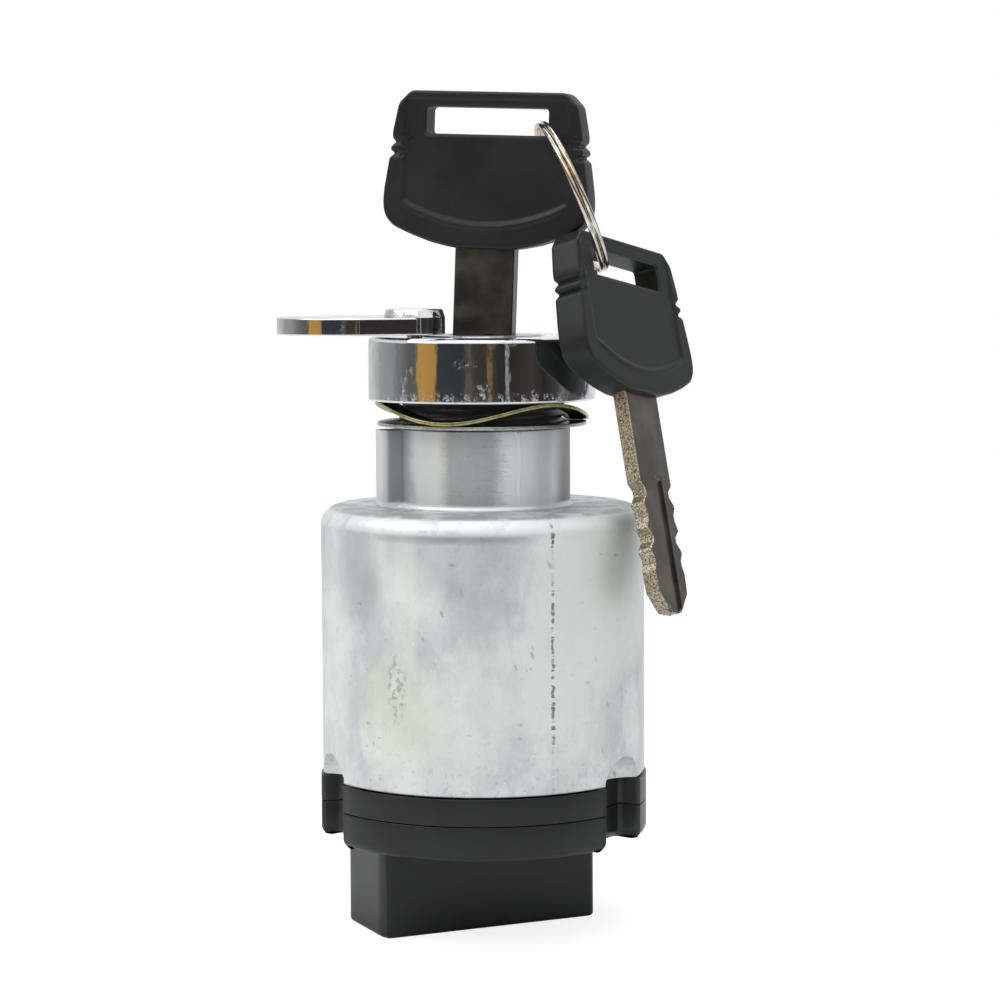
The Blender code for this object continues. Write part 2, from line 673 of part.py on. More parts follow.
def make_rotor(lock):
    """Builds the rotor with its drive slot, detent balls and springs, and the bridging contact under it."""
    top = ROTOR_TOP_Z
    profile = [(0.0, top), (ROTOR_R - GAP, top), (ROTOR_R, top - GAP), (ROTOR_R, ROTOR_Z), (0.0, ROTOR_Z)]
    rotor = turned("rotor", profile, 32, closed=False)
    finish(rotor, lock, NYLON)
    tang_low = PLUG_Z - TANG_LENGTH
    slot_low = tang_low - TANG_END_GAP
    slot_size = (TANG_WIDTH + 2 * GAP, TANG_THICK + 2 * GAP, top + GAP - slot_low)
    boolean(rotor, block("drive_slot_tool", slot_size, (0.0, 0.0, (top + GAP + slot_low) / 2), "cutters"))
    bore_r = CONTACT_SPRING_R + CONTACT_SPRING_WIRE_R + GAP
    for number, side in enumerate((-1.0, 1.0)):
        x = side * CONTACT_SPRING_X
        low = BRIDGE_Z + BRIDGE_THICK + GAP
        high = low + CONTACT_SPRING_LENGTH + GAP
        boolean(rotor, rod(f"spring_bore_tool_{number + 1}", bore_r, (x, 0, ROTOR_Z - GAP), (x, 0, high), "cutters", 12))
        push = spring(f"contact_spring_{number + 1}", CONTACT_SPRING_R, CONTACT_SPRING_WIRE_R,
                      CONTACT_SPRING_LENGTH - GAP, 4)
        push.location = (x, 0.0, low)
        finish(push, lock, STEEL)
    ball_z = top - BALL_DROP
    pocket_r = BALL_R + GAP
    spring_end = BALL_CIRCLE_R - BALL_R - GAP
    for number, turn in enumerate((90.0, 270.0)):
        start = polar(spring_end - DETENT_SPRING_LENGTH - GAP, turn, ball_z)
        end = polar(ROTOR_R + GAP, turn, ball_z)
        boolean(rotor, rod(f"ball_pocket_tool_{number + 1}", pocket_r, start, end, "cutters", 12))
        form = bmesh.new()
        bmesh.ops.create_uvsphere(form, u_segments=10, v_segments=6, radius=BALL_R)
        ball = mesh_object(f"detent_ball_{number + 1}", form)
        ball.location = polar(BALL_CIRCLE_R, turn, ball_z)
        finish(ball, lock, STEEL)
        press = spring(f"detent_spring_{number + 1}", DETENT_SPRING_R, DETENT_SPRING_WIRE_R, DETENT_SPRING_LENGTH, 4)
        press.rotation_euler = (0.0, math.radians(90), math.radians(turn))
        press.location = polar(spring_end - DETENT_SPRING_LENGTH, turn, ball_z)
        finish(press, lock, STEEL)
    end_r = BRIDGE_WIDTH / 2
    half = BRIDGE_LENGTH / 2 - end_r
    outline = arc((half, 0.0), end_r, -90.0, 90.0, 8) + arc((-half, 0.0), end_r, 90.0, 270.0, 8)
    bridge = plate("moving_contact", [outline, circle(BRIDGE_HOLE_R, 20)], BRIDGE_Z, BRIDGE_Z + BRIDGE_THICK)
    finish(bridge, lock, COPPER)


def wafer_height(number):
    """Gives the middle height of a wafer, counted down from the plug's face."""
    return PLUG_TOP_Z - WAFER_FIRST_DROP - number * WAFER_PITCH


def make_plug(lock):
    """Builds the lock plug with its keyway, wafer slots, spring pockets, clip groove and drive tang."""
    groove_low = CLIP_Z - GAP
    head_low = HOUSING_TOP_Z + GAP
    profile = [(0.0, PLUG_TOP_Z), (PLUG_HEAD_R - PLUG_EDGE, PLUG_TOP_Z), (PLUG_HEAD_R, PLUG_TOP_Z - PLUG_EDGE)]
    profile += [(PLUG_HEAD_R, head_low), (PLUG_R, head_low), (PLUG_R, BOSS_Z), (PLUG_R - CLIP_GROOVE_DEPTH, BOSS_Z)]
    profile += [(PLUG_R - CLIP_GROOVE_DEPTH, groove_low), (PLUG_R, groove_low), (PLUG_R, PLUG_Z), (0.0, PLUG_Z)]
    plug = turned("lock_plug", profile, 28, closed=False)
    finish(plug, lock, ZINC)
    tang_top = PLUG_Z + PLUG_FOOT / 2
    tang_low = PLUG_Z - TANG_LENGTH
    tang_size = (TANG_WIDTH, TANG_THICK, tang_top - tang_low)
    boolean(plug, block("tang_tool", tang_size, (0.0, 0.0, (tang_top + tang_low) / 2), "cutters"), "UNION")
    keyway_low = KEY_ROOT_Z - BLADE_LENGTH - KEYWAY_SPARE
    keyway_top = PLUG_TOP_Z + GAP
    keyway_size = (KEYWAY_WIDTH, KEYWAY_THICK, keyway_top - keyway_low)
    boolean(plug, block("keyway_tool", keyway_size, (0.0, 0.0, (keyway_top + keyway_low) / 2), "cutters"))
    pocket_low = -WAFER_LUG / 2 - 2 * GAP
    pocket_high = WAFER_LUG / 2 + WAFER_SPRING_LENGTH + 3 * GAP
    pocket_middle = (pocket_low + pocket_high) / 2
    pocket_reach = WAFER_WIDTH / 2 + WAFER_LUG + GAP
    pocket_size = (pocket_high - pocket_low, pocket_reach, 2 * (WAFER_SPRING_R + WAFER_SPRING_WIRE_R + GAP))
    for number in range(WAFER_COUNT):
        height = wafer_height(number)
        slot_size = (3 * PLUG_R, WAFER_WIDTH + 2 * GAP, WAFER_THICK + 2 * GAP)
        boolean(plug, block(f"wafer_slot_tool_{number + 1}", slot_size, (0.0, 0.0, height), "cutters"))
        side = 1.0 if number % 2 == 0 else -1.0
        middle = (side * pocket_middle, side * pocket_reach / 2, height)
        boolean(plug, block(f"pocket_tool_{number + 1}", pocket_size, middle, "cutters"))


def make_wafers(lock):
    """Builds the wafers and the small springs that push them across the plug."""
    half_x = WAFER_LENGTH / 2
    half_y = WAFER_WIDTH / 2
    lug = WAFER_LUG / 2
    outline = [(-half_x, -half_y), (half_x, -half_y), (half_x, half_y), (lug, half_y), (lug, half_y + WAFER_LUG)]
    outline += [(-lug, half_y + WAFER_LUG), (-lug, half_y), (-half_x, half_y)]
    window = round_rectangle(KEYWAY_WIDTH + 2 * GAP, KEYWAY_THICK + 2 * GAP, GAP, steps=2)
    spring_y = half_y + WAFER_LUG / 2 + GAP
    for number in range(WAFER_COUNT):
        turn = 0.0 if number % 2 == 0 else math.pi
        height = wafer_height(number)
        wafer = plate(f"wafer_{number + 1}", [outline, window], -WAFER_THICK / 2, WAFER_THICK / 2)
        wafer.location = (0.0, 0.0, height)
        wafer.rotation_euler = (0.0, 0.0, turn)
        finish(wafer, lock, BRASS)
        push = spring(f"wafer_spring_{number + 1}", WAFER_SPRING_R, WAFER_SPRING_WIRE_R, WAFER_SPRING_LENGTH, 4)
        side = 1.0 if number % 2 == 0 else -1.0
        push.rotation_euler = (0.0, math.radians(90), turn)
        push.location = (side * (lug + GAP), side * spring_y, height)
        finish(push, lock, STEEL)


def make_clip_and_return_spring(root, lock):
    """Builds the clip that holds the plug in, and the spring that turns it back from start."""
    inner = PLUG_R - CLIP_GROOVE_DEPTH + GAP
    mouth = CLIP_MOUTH / 2
    outline = arc((0.0, 0.0), CLIP_R, mouth, 360.0 - mouth, 20)
    outline += arc((0.0, 0.0), inner, 360.0 - mouth, mouth, 20)
    clip = plate("plug_clip", [outline], CLIP_Z, CLIP_Z + CLIP_THICK)
    finish(clip, lock, STEEL)
    radius = BOSS_R + RETURN_SPRING_WIRE_R + SLIP
    back = spring("return_spring", radius, RETURN_SPRING_WIRE_R, RETURN_SPRING_LENGTH, RETURN_SPRING_TURNS, 14)
    back.location = (0.0, 0.0, NECK_Z - BODY_ROOF - GAP - RETURN_SPRING_LENGTH)
    finish(back, root, STEEL)


def make_washers(root):
    """Builds the flat washer on the neck and the wave washer that the bezel presses on it."""
    inner = THREAD_R + GAP
    top = WASHER_Z + WASHER_THICK
    flat = turned("flat_washer", [(WASHER_R, top), (WASHER_R, WASHER_Z), (inner, WASHER_Z), (inner, top)], 40)
    finish(flat, root, PLATED)
    form = bmesh.new()
    ends = [form.verts.new((inner + SLIP, 0.0, 0.0)), form.verts.new((WASHER_R + GAP, 0.0, 0.0))]
    edge = form.edges.new(ends)
    bmesh.ops.spin(form, geom=[*ends, edge], cent=(0, 0, 0), axis=(0, 0, 1), angle=2 * math.pi, steps=48,
                   use_merge=True)
    bmesh.ops.remove_doubles(form, verts=form.verts, dist=0.000002)
    middle = WAVE_Z + (WAVE_HEIGHT + WAVE_THICK) / 2
    for vertex in form.verts:
        around = math.atan2(vertex.co.y, vertex.co.x)
        vertex.co.z = middle + WAVE_HEIGHT / 2 * math.cos(WAVE_COUNT * (around - math.radians(WAVE_TURN)))
    bmesh.ops.recalc_face_normals(form, faces=form.faces)
    wave = mesh_object("wave_washer", form)
    skin = wave.modifiers.new("sheet", "SOLIDIFY")
    skin.thickness = WAVE_THICK
    skin.offset = 0.0
    finish(wave, root, YELLOW_ZINC)


def cover_pivot():
    """Gives where the dust cover's pin stands."""
    return polar(COVER_PIVOT_R, COVER_PIVOT_TURN)


def make_bezel(root):
    """Builds the chromed nut that holds the switch in its panel and carries the dust cover."""
    lip_low = BEZEL_TOP_Z - BEZEL_LIP_THICK
    opening = PLUG_HEAD_R + GAP
    inner = THREAD_R + GAP
    bevel = BEZEL_TOP_BEVEL
    top_round = arc((BEZEL_R - bevel, BEZEL_TOP_Z - bevel), bevel, 90.0, 0.0, 2)
    profile = [(opening, BEZEL_TOP_Z)] + top_round
    profile += [(BEZEL_R, BEZEL_Z + BEZEL_FOOT_BEVEL), (BEZEL_R - BEZEL_FOOT_BEVEL, BEZEL_Z)]
    profile += [(inner, BEZEL_Z), (inner, lip_low), (opening, lip_low)]
    bezel = turned("bezel_ring", profile, 54)
    finish(bezel, root, CHROME)
    x, y, z = cover_pivot()
    low = (x, y, BEZEL_TOP_Z - PIN_GRIP - GAP)
    boolean(bezel, rod("pin_hole_tool", PIN_R + GAP, low, (x, y, BEZEL_TOP_Z + GAP), "cutters", 16))


def make_cover(pivot):
    """Builds the dust cover, its pivot pin and the spring that swings it shut."""
    reach = Vector((COVER_ARM, 0.0))
    spread = COVER_LUG_SPREAD
    outline = arc(reach, COVER_R, -180.0 + spread, 180.0 - spread, 28)
    outline += arc((0.0, 0.0), COVER_BOSS_R, 180.0 - spread, 180.0 + spread, 8)
    top = COVER_Z + COVER_THICK
    cover = plate("dust_cover", [outline], COVER_Z, top)
    edge_round(cover, COVER_EDGE_ROUND, 1)
    finish(cover, pivot, CHROME)
    boss_top = top + COVER_BOSS_HEIGHT
    profile = [(0.0, boss_top), (COVER_BOSS_TOP_R, boss_top), (COVER_BOSS_R, top - GAP), (0.0, top - GAP)]
    boolean(cover, turned("cover_boss_tool", profile, 24, "cutters", closed=False), "UNION")
    recess_r = PIN_R + GAP + 4 * COVER_SPRING_WIRE_R + GAP
    recess_top = COVER_Z + COVER_SPRING_LENGTH + 2 * GAP
    recess = [(0.0, recess_top), (recess_r, recess_top), (recess_r, COVER_Z - GAP), (0.0, COVER_Z - GAP)]
    boolean(cover, turned("cover_recess_tool", recess, 14, "cutters", closed=False))
    head_low = boss_top - PIN_HEAD_THICK
    boolean(cover, rod("cover_hole_tool", PIN_R + GAP, (0, 0, COVER_Z), (0, 0, boss_top + GAP), "cutters", 12))
    head_start = (0, 0, head_low - GAP)
    boolean(cover, rod("cover_head_tool", PIN_HEAD_R + GAP, head_start, (0, 0, boss_top + GAP), "cutters", 16))
    pin_low = BEZEL_TOP_Z - PIN_GRIP
    pin = [(0.0, boss_top), (PIN_HEAD_R - GAP, boss_top), (PIN_HEAD_R, boss_top - GAP), (PIN_HEAD_R, head_low)]
    pin += [(PIN_R, head_low), (PIN_R, pin_low), (0.0, pin_low)]
    finish(turned("cover_pivot_pin", pin, 16, closed=False), pivot, CHROME)
    coil_r = PIN_R + GAP + COVER_SPRING_WIRE_R
    twist = spring("cover_spring", coil_r, COVER_SPRING_WIRE_R, COVER_SPRING_LENGTH, 2, 12)
    twist.location = (0.0, 0.0, COVER_Z + GAP)
    finish(twist, pivot, STEEL)


def blade_outline():
    """Lists the key blade's outline, root at the top, with the same cuts in both edges near the tip."""
    half = BLADE_WIDTH / 2
    first = -KEY_REACH - GAP
    pitch = (BLADE_LENGTH - KEY_REACH - BLADE_WIDTH / 2) / (len(CUT_DEPTHS) + CUT_RUN_OUT)
    edge = [(half, BLADE_ROOT), (half, first)]
    for number, depth in enumerate(CUT_DEPTHS):
        for along, share in CUT_SHARES:
            cut = CUT_DEPTH * share * (depth if share == 1.0 else 1.0)
            edge.append((half - cut, first - pitch * (number + along)))
    edge += [(half - CUT_DEPTH * TIP_INSET, TIP_TAPER - BLADE_LENGTH), (half * TIP_SHARE, -BLADE_LENGTH)]
    return edge + [(-x, z) for x, z in reversed(edge)]


def head_outline():
    """Lists the moulded head's outline: chamfered top, notched sides, widest low down and a bowed bottom."""
    side = [(across * HEAD_WIDTH / 2, up * HEAD_HEIGHT) for across, up in HEAD_SHAPE]
    return side + [(-x, z) for x, z in reversed(side)]


def panel_outline():
    """Lists the sunk panel's outline on a head's face; its lower border curves up like a bow towards both sides."""
    half = PANEL_WIDTH / 2
    top = HEAD_HEIGHT - PANEL_TOP
    points = [(half, top), (-half, top)]
    for step in range(9):
        share = step / 4 - 1.0
        points.append((share * half, PANEL_LOW + PANEL_CORNER_RISE * share ** 2))
    return points


def key_meshes(number, holder):
    """Builds one key: a blade with milled grooves and a moulded head with a slot for the ring."""
    blade = stood(plate(f"key_{number}_blade", [blade_outline()], -BLADE_THICK / 2, BLADE_THICK / 2))
    finish(blade, holder, KEY_STEEL)
    groove_low = -BLADE_LENGTH * 1.1
    groove_top = -KEY_REACH * 0.8
    groove_size = (BLADE_GROOVE_WIDTH, BLADE_GROOVE * 2, groove_top - groove_low)
    for face in (-1, 1):
        middle = (-face * BLADE_GROOVE_SHIFT, face * BLADE_THICK / 2, (groove_top + groove_low) / 2)
        boolean(blade, block(f"groove_tool_{number}_{face + 1}", groove_size, middle, "cutters"))
    head = stood(plate(f"key_{number}_head", [head_outline()], -HEAD_THICK / 2, HEAD_THICK / 2))
    edge_round(head, HEAD_ROUND, 2, 60.0)
    finish(head, holder, BLACK)
    face = HEAD_THICK / 2
    for side, low in (("front", face - PANEL_DEPTH), ("back", -face - PANEL_DEPTH)):
        sunk = plate(f"panel_tool_{number}_{side}", [panel_outline()], low, low + 2 * PANEL_DEPTH, "cutters")
        boolean(head, stood(sunk))
    pocket_size = (BLADE_WIDTH + 2 * GAP, BLADE_THICK + 2 * GAP, 2 * (BLADE_ROOT + GAP))
    boolean(head, block(f"root_tool_{number}", pocket_size, (0.0, 0.0, 0.0), "cutters"))
    slot_z = HEAD_HEIGHT - HEAD_SLOT_TOP - HEAD_SLOT_HEIGHT / 2
    slot = round_rectangle(HEAD_SLOT_WIDTH, HEAD_SLOT_HEIGHT, HEAD_ROUND, steps=2)
    tool = stood(plate(f"slot_tool_{number}", [slot], -HEAD_THICK, HEAD_THICK, "cutters"))
    tool.location = (0.0, 0.0, slot_z)
    boolean(head, tool)


def make_keys(root, lock):
    """Places the key in the lock, the split ring through its head and the hanging key on the ring."""
    pivot_z = PLUG_TOP_Z - (BLADE_LENGTH - KEY_REACH) / 2
    leaning = frame("key_1_frame", lock, (0.0, 0.0, pivot_z), (0.0, KEY_LEAN, 0.0))
    seated = frame("key_1_root", leaning, (0.0, 0.0, KEY_ROOT_Z - pivot_z))
    key_meshes(1, seated)
    front = frame("front_frame", root, turn=(0.0, 0.0, FRONT_TURN))
    ring_frame = frame("ring_frame", front, (RING_X, RING_Y, KEY_ROOT_Z + RING_RISE), RING_TILT)
    step = RING_WIRE_R * 2.15
    points = coil_points(RING_R, step * RING_TURNS, RING_TURNS, 30)
    ring = wire("split_ring", points, RING_WIRE_R, 1)
    ring.data.transform(Matrix.Translation((0.0, 0.0, -step * RING_TURNS / 2)))
    ring.data.transform(Matrix.Rotation(math.radians(90), 4, "Y"))
    finish(ring, ring_frame, CHROME)
    hang_length = HANG_SLOT_Z + BLADE_LENGTH
    lean = math.degrees(math.asin((BODY_R + HANG_TIP_CLEAR - HANG_X) / hang_length))
    hanging = frame("hang_frame", front, (HANG_X, HANG_Y, KEY_ROOT_Z - HANG_DROP), (HANG_SWAY, -lean, 0.0))
    spun = frame("key_2_frame", hanging, turn=(0.0, 0.0, HANG_SPIN))
    hung = frame("key_2_root", spun, (-HANG_SLOT_X, 0.0, -HANG_SLOT_Z))
    key_meshes(2, hung)


def main():
    """Builds the whole switch."""
    clear_scene()
    root = frame("switch_frame", None, (AXIS_X, AXIS_Y, 0.0))
    lock = frame("lock_frame", root, turn=(0.0, 0.0, LOCK_TURN))
    pivot = frame("cover_frame", root, cover_pivot(), (0.0, 0.0, COVER_TURN))
    make_housing(root)
    make_holder(root)
    make_base(root)
    make_terminals(root)
    make_screws(root)
    make_rotor(lock)
    make_plug(lock)
    make_wafers(lock)
    make_clip_and_return_spring(root, lock)
    make_washers(root)
    make_bezel(root)
    make_cover(pivot)
    make_keys(root, lock)


if __name__ == "__main__":
    main()
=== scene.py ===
"""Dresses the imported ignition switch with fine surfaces, finishes, a floor, lamps and a camera.

Lengths are metres and angles are degrees, counter-clockwise seen from above, starting at +X. The switch
stands on the rim of its connector shroud at z = 0, and the lock's axis is upright.
"""
import math

import bpy
import numpy as np
from mathutils import Euler, Matrix, Vector


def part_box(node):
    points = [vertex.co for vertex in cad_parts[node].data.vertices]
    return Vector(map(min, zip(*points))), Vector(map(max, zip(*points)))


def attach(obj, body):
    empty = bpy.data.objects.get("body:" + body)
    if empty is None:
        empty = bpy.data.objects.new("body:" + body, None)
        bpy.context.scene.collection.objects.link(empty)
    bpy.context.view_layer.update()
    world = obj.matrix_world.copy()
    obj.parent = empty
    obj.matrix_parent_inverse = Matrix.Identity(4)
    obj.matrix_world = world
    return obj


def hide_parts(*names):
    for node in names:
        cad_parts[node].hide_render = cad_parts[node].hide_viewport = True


bl_info = {
    "name": "Ignition Switch Finish",
    "version": (1, 0, 0),
    "blender": (4, 5, 0),
    "location": "3D View > Sidebar > Switch",
    "description": "Fine surfaces and finishes for an ignition switch with its keys",
    "category": "Object",
}

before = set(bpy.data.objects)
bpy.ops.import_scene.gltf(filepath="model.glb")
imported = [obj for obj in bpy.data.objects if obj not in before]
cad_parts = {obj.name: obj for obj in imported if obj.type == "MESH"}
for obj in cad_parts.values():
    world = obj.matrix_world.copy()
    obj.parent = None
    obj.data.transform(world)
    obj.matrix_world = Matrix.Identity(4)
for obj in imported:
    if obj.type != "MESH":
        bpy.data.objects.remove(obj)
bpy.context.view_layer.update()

# Where the lock's axis stands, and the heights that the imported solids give
AXIS = np.array([-0.00092, 0.00168, 0.0])
BODY_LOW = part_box("housing")[0].z
HOUSING_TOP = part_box("housing")[1].z
HOLDER_LOW, HOLDER_TOP = (corner.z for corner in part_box("contact_holder"))
BASE_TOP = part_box("terminal_base")[1].z
BEZEL_LOW, BEZEL_TOP = (corner.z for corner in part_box("bezel_ring"))
WASHER_LOW, WASHER_TOP = (corner.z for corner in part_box("flat_washer"))
WAVE_LOW, WAVE_TOP = (corner.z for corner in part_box("wave_washer"))
COVER_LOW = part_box("dust_cover")[0].z
PLUG_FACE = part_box("lock_plug")[1].z

# The casting
BODY_R = 0.0230
BODY_HEIGHT = 0.0390
BODY_WALL = 0.0040
BODY_ROOF = 0.0050
SHOULDER_ROUND = 0.0025
NECK_R = 0.0125
NECK_HEIGHT = 0.0101
# The photograph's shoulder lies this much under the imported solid's
SHOULDER_DROP = 0.0010
NECK_FOOT_ROUND = 0.0007
THREAD_R = 0.0118
THREAD_PITCH = 0.00125
THREAD_DEPTH = 0.0005
BORE_R = 0.0083
BOSS_R = 0.0113
BOSS_LENGTH = 0.0097
RIB_TURN = 169.0
RIB_REACH = 0.0150
RIB_WIDTH = 0.0046
PARTING_TURN = 270.0
NECK_Z = BODY_LOW + BODY_HEIGHT
SEAT_Z = NECK_Z + NECK_HEIGHT
CROWN_Z = NECK_Z - SHOULDER_DROP

# The foot
FOOT_R = 0.0233
NOTCH_TURNS = (60.0, 176.0, 304.0)
NOTCH_FLOOR_R = 0.0196
NOTCH_WIDTH = 0.0092
SCOOP_DEPTH = 0.0033
SCOOP_RISE = 0.0036
SCREW_TURNS = (2.0, 118.0, 240.0)
SCREW_CIRCLE_R = 0.0183
COLUMN_R = 0.0032
HOLDER_FLANGE = 0.00355
HOLDER_BORE_R = 0.0117
HOLDER_WALL = 0.0012
DETENT_R = 0.0015
DETENT_CIRCLE_R = 0.0107
DETENT_TURNS = (-123.0, -83.0, -43.0, -7.0)
BASE_LOW = 0.0130
SEAM_SHUT = 0.00011
BASE_ROUND = 0.0014
SHROUD_SIZE = (0.0330, 0.0138)
SHROUD_CENTRE = (-0.0015, 0.0010)
SHROUD_WALL = 0.0014
SHROUD_CORNER = 0.0012
SHROUD_RIM_ROUND = 0.0006
LUG_X = 0.0034
LUG_SIZE = (0.0040, 0.0028, 0.0016)

# Bezel, washers and cover
BEZEL_R = 0.0161
BEZEL_OPENING_R = 0.0091
BEZEL_LIP = 0.0029
BEZEL_BORE_R = 0.0121
WASHER_R = 0.01485
WAVE_INNER_R = 0.01245
WAVE_OUTER_R = 0.01515
WAVE_THICK = 0.0005
WAVE_RISE = 0.00122
WAVE_COUNT = 3
WAVE_TURN = 45.0
COVER_TURN = 131.7
COVER_PIVOT = (0.0116, 191.6)
COVER_R = 0.0108
COVER_ARM = 0.0094
COVER_THICK = 0.0024
COVER_BOSS_R = 0.0043
COVER_BOSS_TOP_R = 0.0036
COVER_BOSS_HEIGHT = 0.0012
COVER_SPREAD = 60.0
PIN_HEAD_R = 0.0019

# Keys and ring
LOCK_TURN = -43.0
KEY_LEAN = 2.3
KEY_REACH = 0.0120
BLADE_LENGTH = 0.0310
BLADE_ROOT = 0.0060
BLADE_HALF = 0.0044
BLADE_THICK = 0.0021
GROOVE_SHIFT = 0.0010
GROOVE_HALF = 0.0008
GROOVE_DEPTH = 0.0004
CUT_DEPTH = 0.0011
CUT_COUNT = 4
HEAD_HALF = 0.0152
HEAD_HEIGHT = 0.0221
HEAD_THICK = 0.0044
SLOT_SIZE = (0.0180, 0.0038)
SLOT_CENTRE = HEAD_HEIGHT - 0.0022 - SLOT_SIZE[1] / 2
FRONT_TURN = -25.0
RING_R = 0.0110
RING_WIRE_R = 0.00035
RING_TURNS = 2
RING_CENTRE = (0.01253, -0.00384, 0.10327)
RING_TILT = (0.0, -22.3, 5.1)
HANG_PLACE = (0.01678, -0.00509, 0.09320)
HANG_SWAY = -15.45
HANG_SPIN = 59.55
HANG_TIP_CLEAR = 0.0011
HANG_SLOT = (-0.00383, 0.01791)

# The photograph's camera, in axes turned by FRONT_TURN about the lock's axis
CAMERA_PLACE = (0.00335, -0.400, 0.0956)
CAMERA_YAW = 0.122
CAMERA_PITCH = -5.01
CAMERA_ROLL = 0.264
CAMERA_LENS = 101.45
SENSOR = 36.0

COLUMNS = 480
RING_COLUMNS = 240
RIPPLE_WAVES = ((1.0, 0.37), (-0.71, 1.13), (0.43, -1.91), (2.3, 1.3), (-2.9, 0.6), (0.9, 3.1))
RIPPLE_SUM = 2.45

# The room that mirrors see: bearings from the camera's direction, then the colour level with it or grey above
ROOM_BAND = ((-180.0, (0.90, 0.91, 0.92)), (-163.0, (0.66, 0.67, 0.67)), (-140.0, (0.60, 0.61, 0.60)),
             (-124.0, (0.36, 0.37, 0.36)), (-101.0, (0.29, 0.30, 0.30)), (-94.0, (0.21, 0.215, 0.21)),
             (-79.0, (0.125, 0.125, 0.12)), (-68.5, (0.115, 0.11, 0.10)), (-67.0, (0.52, 0.30, 0.08)),
             (-47.0, (0.44, 0.25, 0.065)), (-45.5, (0.042, 0.046, 0.052)), (-17.0, (0.032, 0.038, 0.048)),
             (-12.0, (0.125, 0.115, 0.095)), (-7.0, (0.050, 0.042, 0.034)), (5.0, (0.042, 0.034, 0.028)),
             (8.0, (0.26, 0.17, 0.08)), (11.5, (0.045, 0.038, 0.032)), (24.0, (0.020, 0.020, 0.022)),
             (26.0, (0.52, 0.52, 0.52)), (28.0, (0.022, 0.021, 0.021)), (52.0, (0.050, 0.046, 0.040)),
             (66.0, (0.022, 0.022, 0.022)), (84.0, (0.06, 0.06, 0.06)), (104.0, (0.42, 0.42, 0.42)),
             (140.0, (0.70, 0.70, 0.70)), (180.0, (0.90, 0.91, 0.92)))
ROOM_ABOVE = ((-180.0, 0.98), (-150.0, 0.86), (-118.0, 0.44), (-95.0, 0.62), (-66.0, 0.92), (-40.0, 0.74),
              (-14.0, 0.58), (14.0, 0.80), (45.0, 0.98), (78.0, 0.88), (112.0, 0.42), (134.0, 0.52),
              (156.0, 0.92),
              (180.0, 0.98))

# Patches on the casting's side toward the camera: a colour, then for each its place to the right, height, half
# sizes and share. The grey-blue ones are painted dark reflections, the pale ones painted highlights and
# reflections, and the yellow and pink ones faint tints.
PAINTED_REFLECTIONS_AND_TINTS = (
    ((0.40, 0.455, 0.475), ((-0.0172, 0.0535, 0.0028, 0.0085, 0.55), (-0.0150, 0.0455, 0.0018, 0.0060, 0.40),
                            (-0.0030, 0.0550, 0.0085, 0.0060, 0.42), (0.0005, 0.0470, 0.0060, 0.0040, 0.22),
                            (0.0195, 0.0540, 0.0026, 0.0060, 0.40), (0.0180, 0.0380, 0.0022, 0.0090, 0.28))),
    ((0.87, 0.89, 0.86), ((-0.0105, 0.0500, 0.0016, 0.0110, 0.55), (0.0120, 0.0430, 0.0060, 0.0160, 0.85),
                          (0.0180, 0.0500, 0.0045, 0.0120, 0.90), (0.0130, 0.0555, 0.0050, 0.0030, 0.60),
                          (-0.0060, 0.0285, 0.0100, 0.0050, 0.35), (-0.0205, 0.0400, 0.0020, 0.0150, 0.50))),
    ((0.80, 0.82, 0.60), ((-0.0112, 0.0335, 0.0050, 0.0070, 0.42),)),
    ((0.78, 0.69, 0.67), ((0.0010, 0.0400, 0.0050, 0.0040, 0.20),)))
SCAR = (-0.0116, 0.0364, 0.0012, 0.0040)

# Bands on the casting: where each starts, is full, is still full, and ends. The parting bands set the
# parting line's strength; the others place painted highlights and painted shade on the shoulder, crown,
# neck foot and rib.
PARTING_STRONG = (0.0275, 0.0300, 0.0490, 0.0525)
PARTING_CRACK = (0.0550, 0.0562, 0.0588, 0.0596)
SHOULDER_HIGHLIGHT_BAND = (0.0573, 0.0580, 0.0594, 0.0600)
UNDER_SHOULDER_SHADE_BAND = (0.0563, 0.0570, 0.0572, 0.0578)
CROWN_SHADE_BAND = (0.0595, 0.0598, CROWN_Z + 0.0001, CROWN_Z + 0.0003)
NECK_FOOT_HIGHLIGHT_BAND = (CROWN_Z + 0.00004, CROWN_Z + 0.0002, CROWN_Z + 0.0006, CROWN_Z + 0.0010)
RIB_SHADE = (-0.0134, -0.0127, -0.0113, -0.0106)

# Painted highlights up the neck: place to the right, half width and share
NECK_HIGHLIGHTS = ((-0.0074, 0.0024, 0.70), (0.0068, 0.0046, 1.00))


def smooth(low, high, value):
    """Rises from 0 at low to 1 at high along 3t^2 - 2t^3."""
    part = np.clip((value - low) / (high - low), 0.0, 1.0)
    return part * part * (3.0 - 2.0 * part)


def ripple(around, along, scale, phase=0.0):
    """Adds up six sine waves of falling strength, whose directions share no factor, between -1 and 1."""
    total = np.zeros(np.broadcast(around, along).shape)
    for number, (first, second) in enumerate(RIPPLE_WAVES):
        total = total + np.sin((first * around + second * along) / scale + phase + 1.7 * number) / (1 + number)
    return total / RIPPLE_SUM


def softened(corners, steps=4, closed=False):
    """Rounds a path of (x, y, round) corners: each corner becomes a quadratic curve."""
    points = np.array([corner[:2] for corner in corners], float)
    path = []
    for number, corner in enumerate(corners):
        cut = corner[2]
        ends = not closed and number in (0, len(corners) - 1)
        if cut <= 0.0 or ends:
            path.append(points[number])
            continue
        before = points[number - 1] - points[number]
        after = points[(number + 1) % len(points)] - points[number]
        start = points[number] + before * min(0.5, cut / np.linalg.norm(before))
        finish = points[number] + after * min(0.5, cut / np.linalg.norm(after))
        for part in np.linspace(0.0, 1.0, steps + 1):
            path.append((1 - part) ** 2 * start + 2 * part * (1 - part) * points[number] + part ** 2 * finish)
    return np.array(path)


